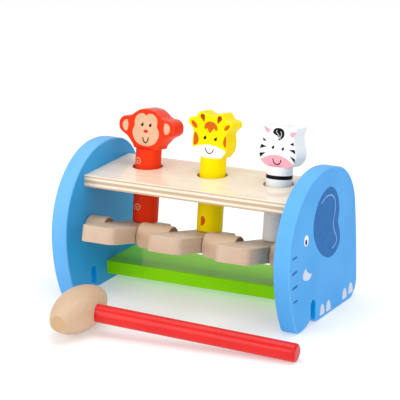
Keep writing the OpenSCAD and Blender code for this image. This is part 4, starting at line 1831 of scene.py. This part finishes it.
@dataclass
class Studio:
    """Pale floor, soft light and the camera of the photograph."""

    axes: BenchAxes
    camera_place: Triple = (965.393, -1774.135, 709.231)
    azimuth: float = 27.77
    elevation: float = 16.635
    roll: float = -0.493
    lens: float = 228.71
    sensor: float = 36.0
    reach: float = 100.0
    floor_half: float = 12.0
    floor_glow: float = 0.4
    room_light: float = 0.55
    aim: Triple = (0.0, 0.06, 0.06)
    lights: tuple[Softbox, ...] = (
        Softbox("key_softbox", place=(-1.0, -1.9, 0.95), side=1.7, power=23.0),
        Softbox("fill_softbox", place=(1.8, -1.2, 0.9), side=1.4, power=13.0),
        Softbox("top_softbox", place=(0.1, 0.3, 2.1), side=2.0, power=24.0),
    )

    def build(self) -> None:
        """Makes camera, floor, world and lights."""
        self.camera()
        self.floor()
        self.world()
        for light in self.lights:
            self.hang(light)

    def camera(self) -> None:
        """Camera whose axes come from azimuth, elevation and roll."""
        turn, tilt, roll = (math.radians(a) for a in (self.azimuth, self.elevation, self.roll))
        flat = math.cos(tilt)
        back = np.array([flat * math.sin(turn), -flat * math.cos(turn), math.sin(tilt)])
        level = np.array([math.cos(turn), math.sin(turn), 0.0])
        upright = np.cross(back, level)
        right = math.cos(roll) * level + math.sin(roll) * upright
        up = -math.sin(roll) * level + math.cos(roll) * upright
        data = bpy.data.cameras.new("photo_camera")
        data.lens = self.lens
        data.sensor_width = self.sensor
        data.clip_end = self.reach
        camera = bpy.data.objects.new("photo_camera", data)
        columns = Matrix(np.column_stack([right, up, back]).tolist()).to_4x4()
        place = Matrix.Translation(self.axes.place(np.array(self.camera_place)).tolist())
        camera.matrix_world = place @ columns
        bpy.context.scene.collection.objects.link(camera)
        bpy.context.scene.camera = camera

    def floor(self) -> None:
        """Wide pale floor, one square face."""
        half = self.floor_half
        corners = [(-half, -half, 0.0), (half, -half, 0.0), (half, half, 0.0), (-half, half, 0.0)]
        mesh = bpy.data.meshes.new("studio_floor")
        mesh.from_pydata(corners, [], [[0, 1, 2, 3]])
        shader = Shader("pale_floor")
        cloud = shader.noise(shader.millimetres(), (400, 400, 400), 2)
        colour = shader.mix(srgb(226, 226, 226), srgb(223, 223, 224), cloud)
        shader.feed(shader.surface.inputs["Emission Color"], colour)
        constants = {"Specular_IOR_Level": 0.15, "Emission_Strength": self.floor_glow}
        mesh.materials.append(shader.finish(colour, 0.5 + 0.05 * cloud, cloud, 0.01, **constants))
        floor = bpy.data.objects.new("studio_floor", mesh)
        bpy.context.scene.collection.objects.link(floor)
        floor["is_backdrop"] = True

    def world(self) -> None:
        """Even white surroundings."""
        world = bpy.data.worlds.new("white_room")
        world.use_nodes = True
        background = world.node_tree.nodes["Background"]
        background.inputs["Color"].default_value = (1.0, 1.0, 1.0, 1.0)
        background.inputs["Strength"].default_value = self.room_light
        bpy.context.scene.world = world
        bpy.context.scene.view_settings.view_transform = "Standard"

    def hang(self, softbox: Softbox) -> None:
        """Hangs a light so that it looks at the middle of the bench.

        Args:
            softbox: The light.
        """
        data = bpy.data.lights.new(softbox.name, "AREA")
        data.size = softbox.side
        data.energy = softbox.power
        light = bpy.data.objects.new(softbox.name, data)
        place = np.array(softbox.place)
        z = place - np.array(self.aim)
        z = z / np.linalg.norm(z)
        x = np.cross([0.0, 1.0, 0.0], z)
        x = x / np.linalg.norm(x)
        away = Matrix(np.column_stack([x, np.cross(z, x), z]).tolist()).to_4x4()
        light.matrix_world = Matrix.Translation((self.axes.origin + place).tolist()) @ away
        bpy.context.scene.collection.objects.link(light)


def main() -> None:
    """Builds the bench, its figures and the mallet, and lights them."""
    logging.basicConfig(level=logging.INFO, format="%(message)s")
    axes = BenchAxes.of_frame()
    shop = Workshop(axes, {colour: colour.material() for colour in InkColour})
    Studio(axes).build()
    # The third shade colours rubbed edges and the painted highlight on the panel walls; the recess
    # colour is painted shade in the slots and on the inner faces.
    sky = (srgb(79, 168, 235), srgb(69, 160, 229), srgb(176, 220, 250))
    blue = Paint("blue_panel_paint", *sky, bare_and_highlight=0.4, recess=srgb(0, 157, 223)).material()
    # The left panel's walls get a stronger painted highlight.
    SidePanel(shop, Side.LEFT, pale=0.45).build(blue)
    SidePanel(shop, Side.RIGHT).build(blue)
    for assembly in (Boards, LeverRow, Monkey, Giraffe, Zebra, Mallet):
        assembly(shop).build()

    boxes = {"cad": CAD_BOX, "visual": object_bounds()}
    {name: [list(corner) for corner in box] for name, box in boxes.items()}


if __name__ == "__main__":
    main()
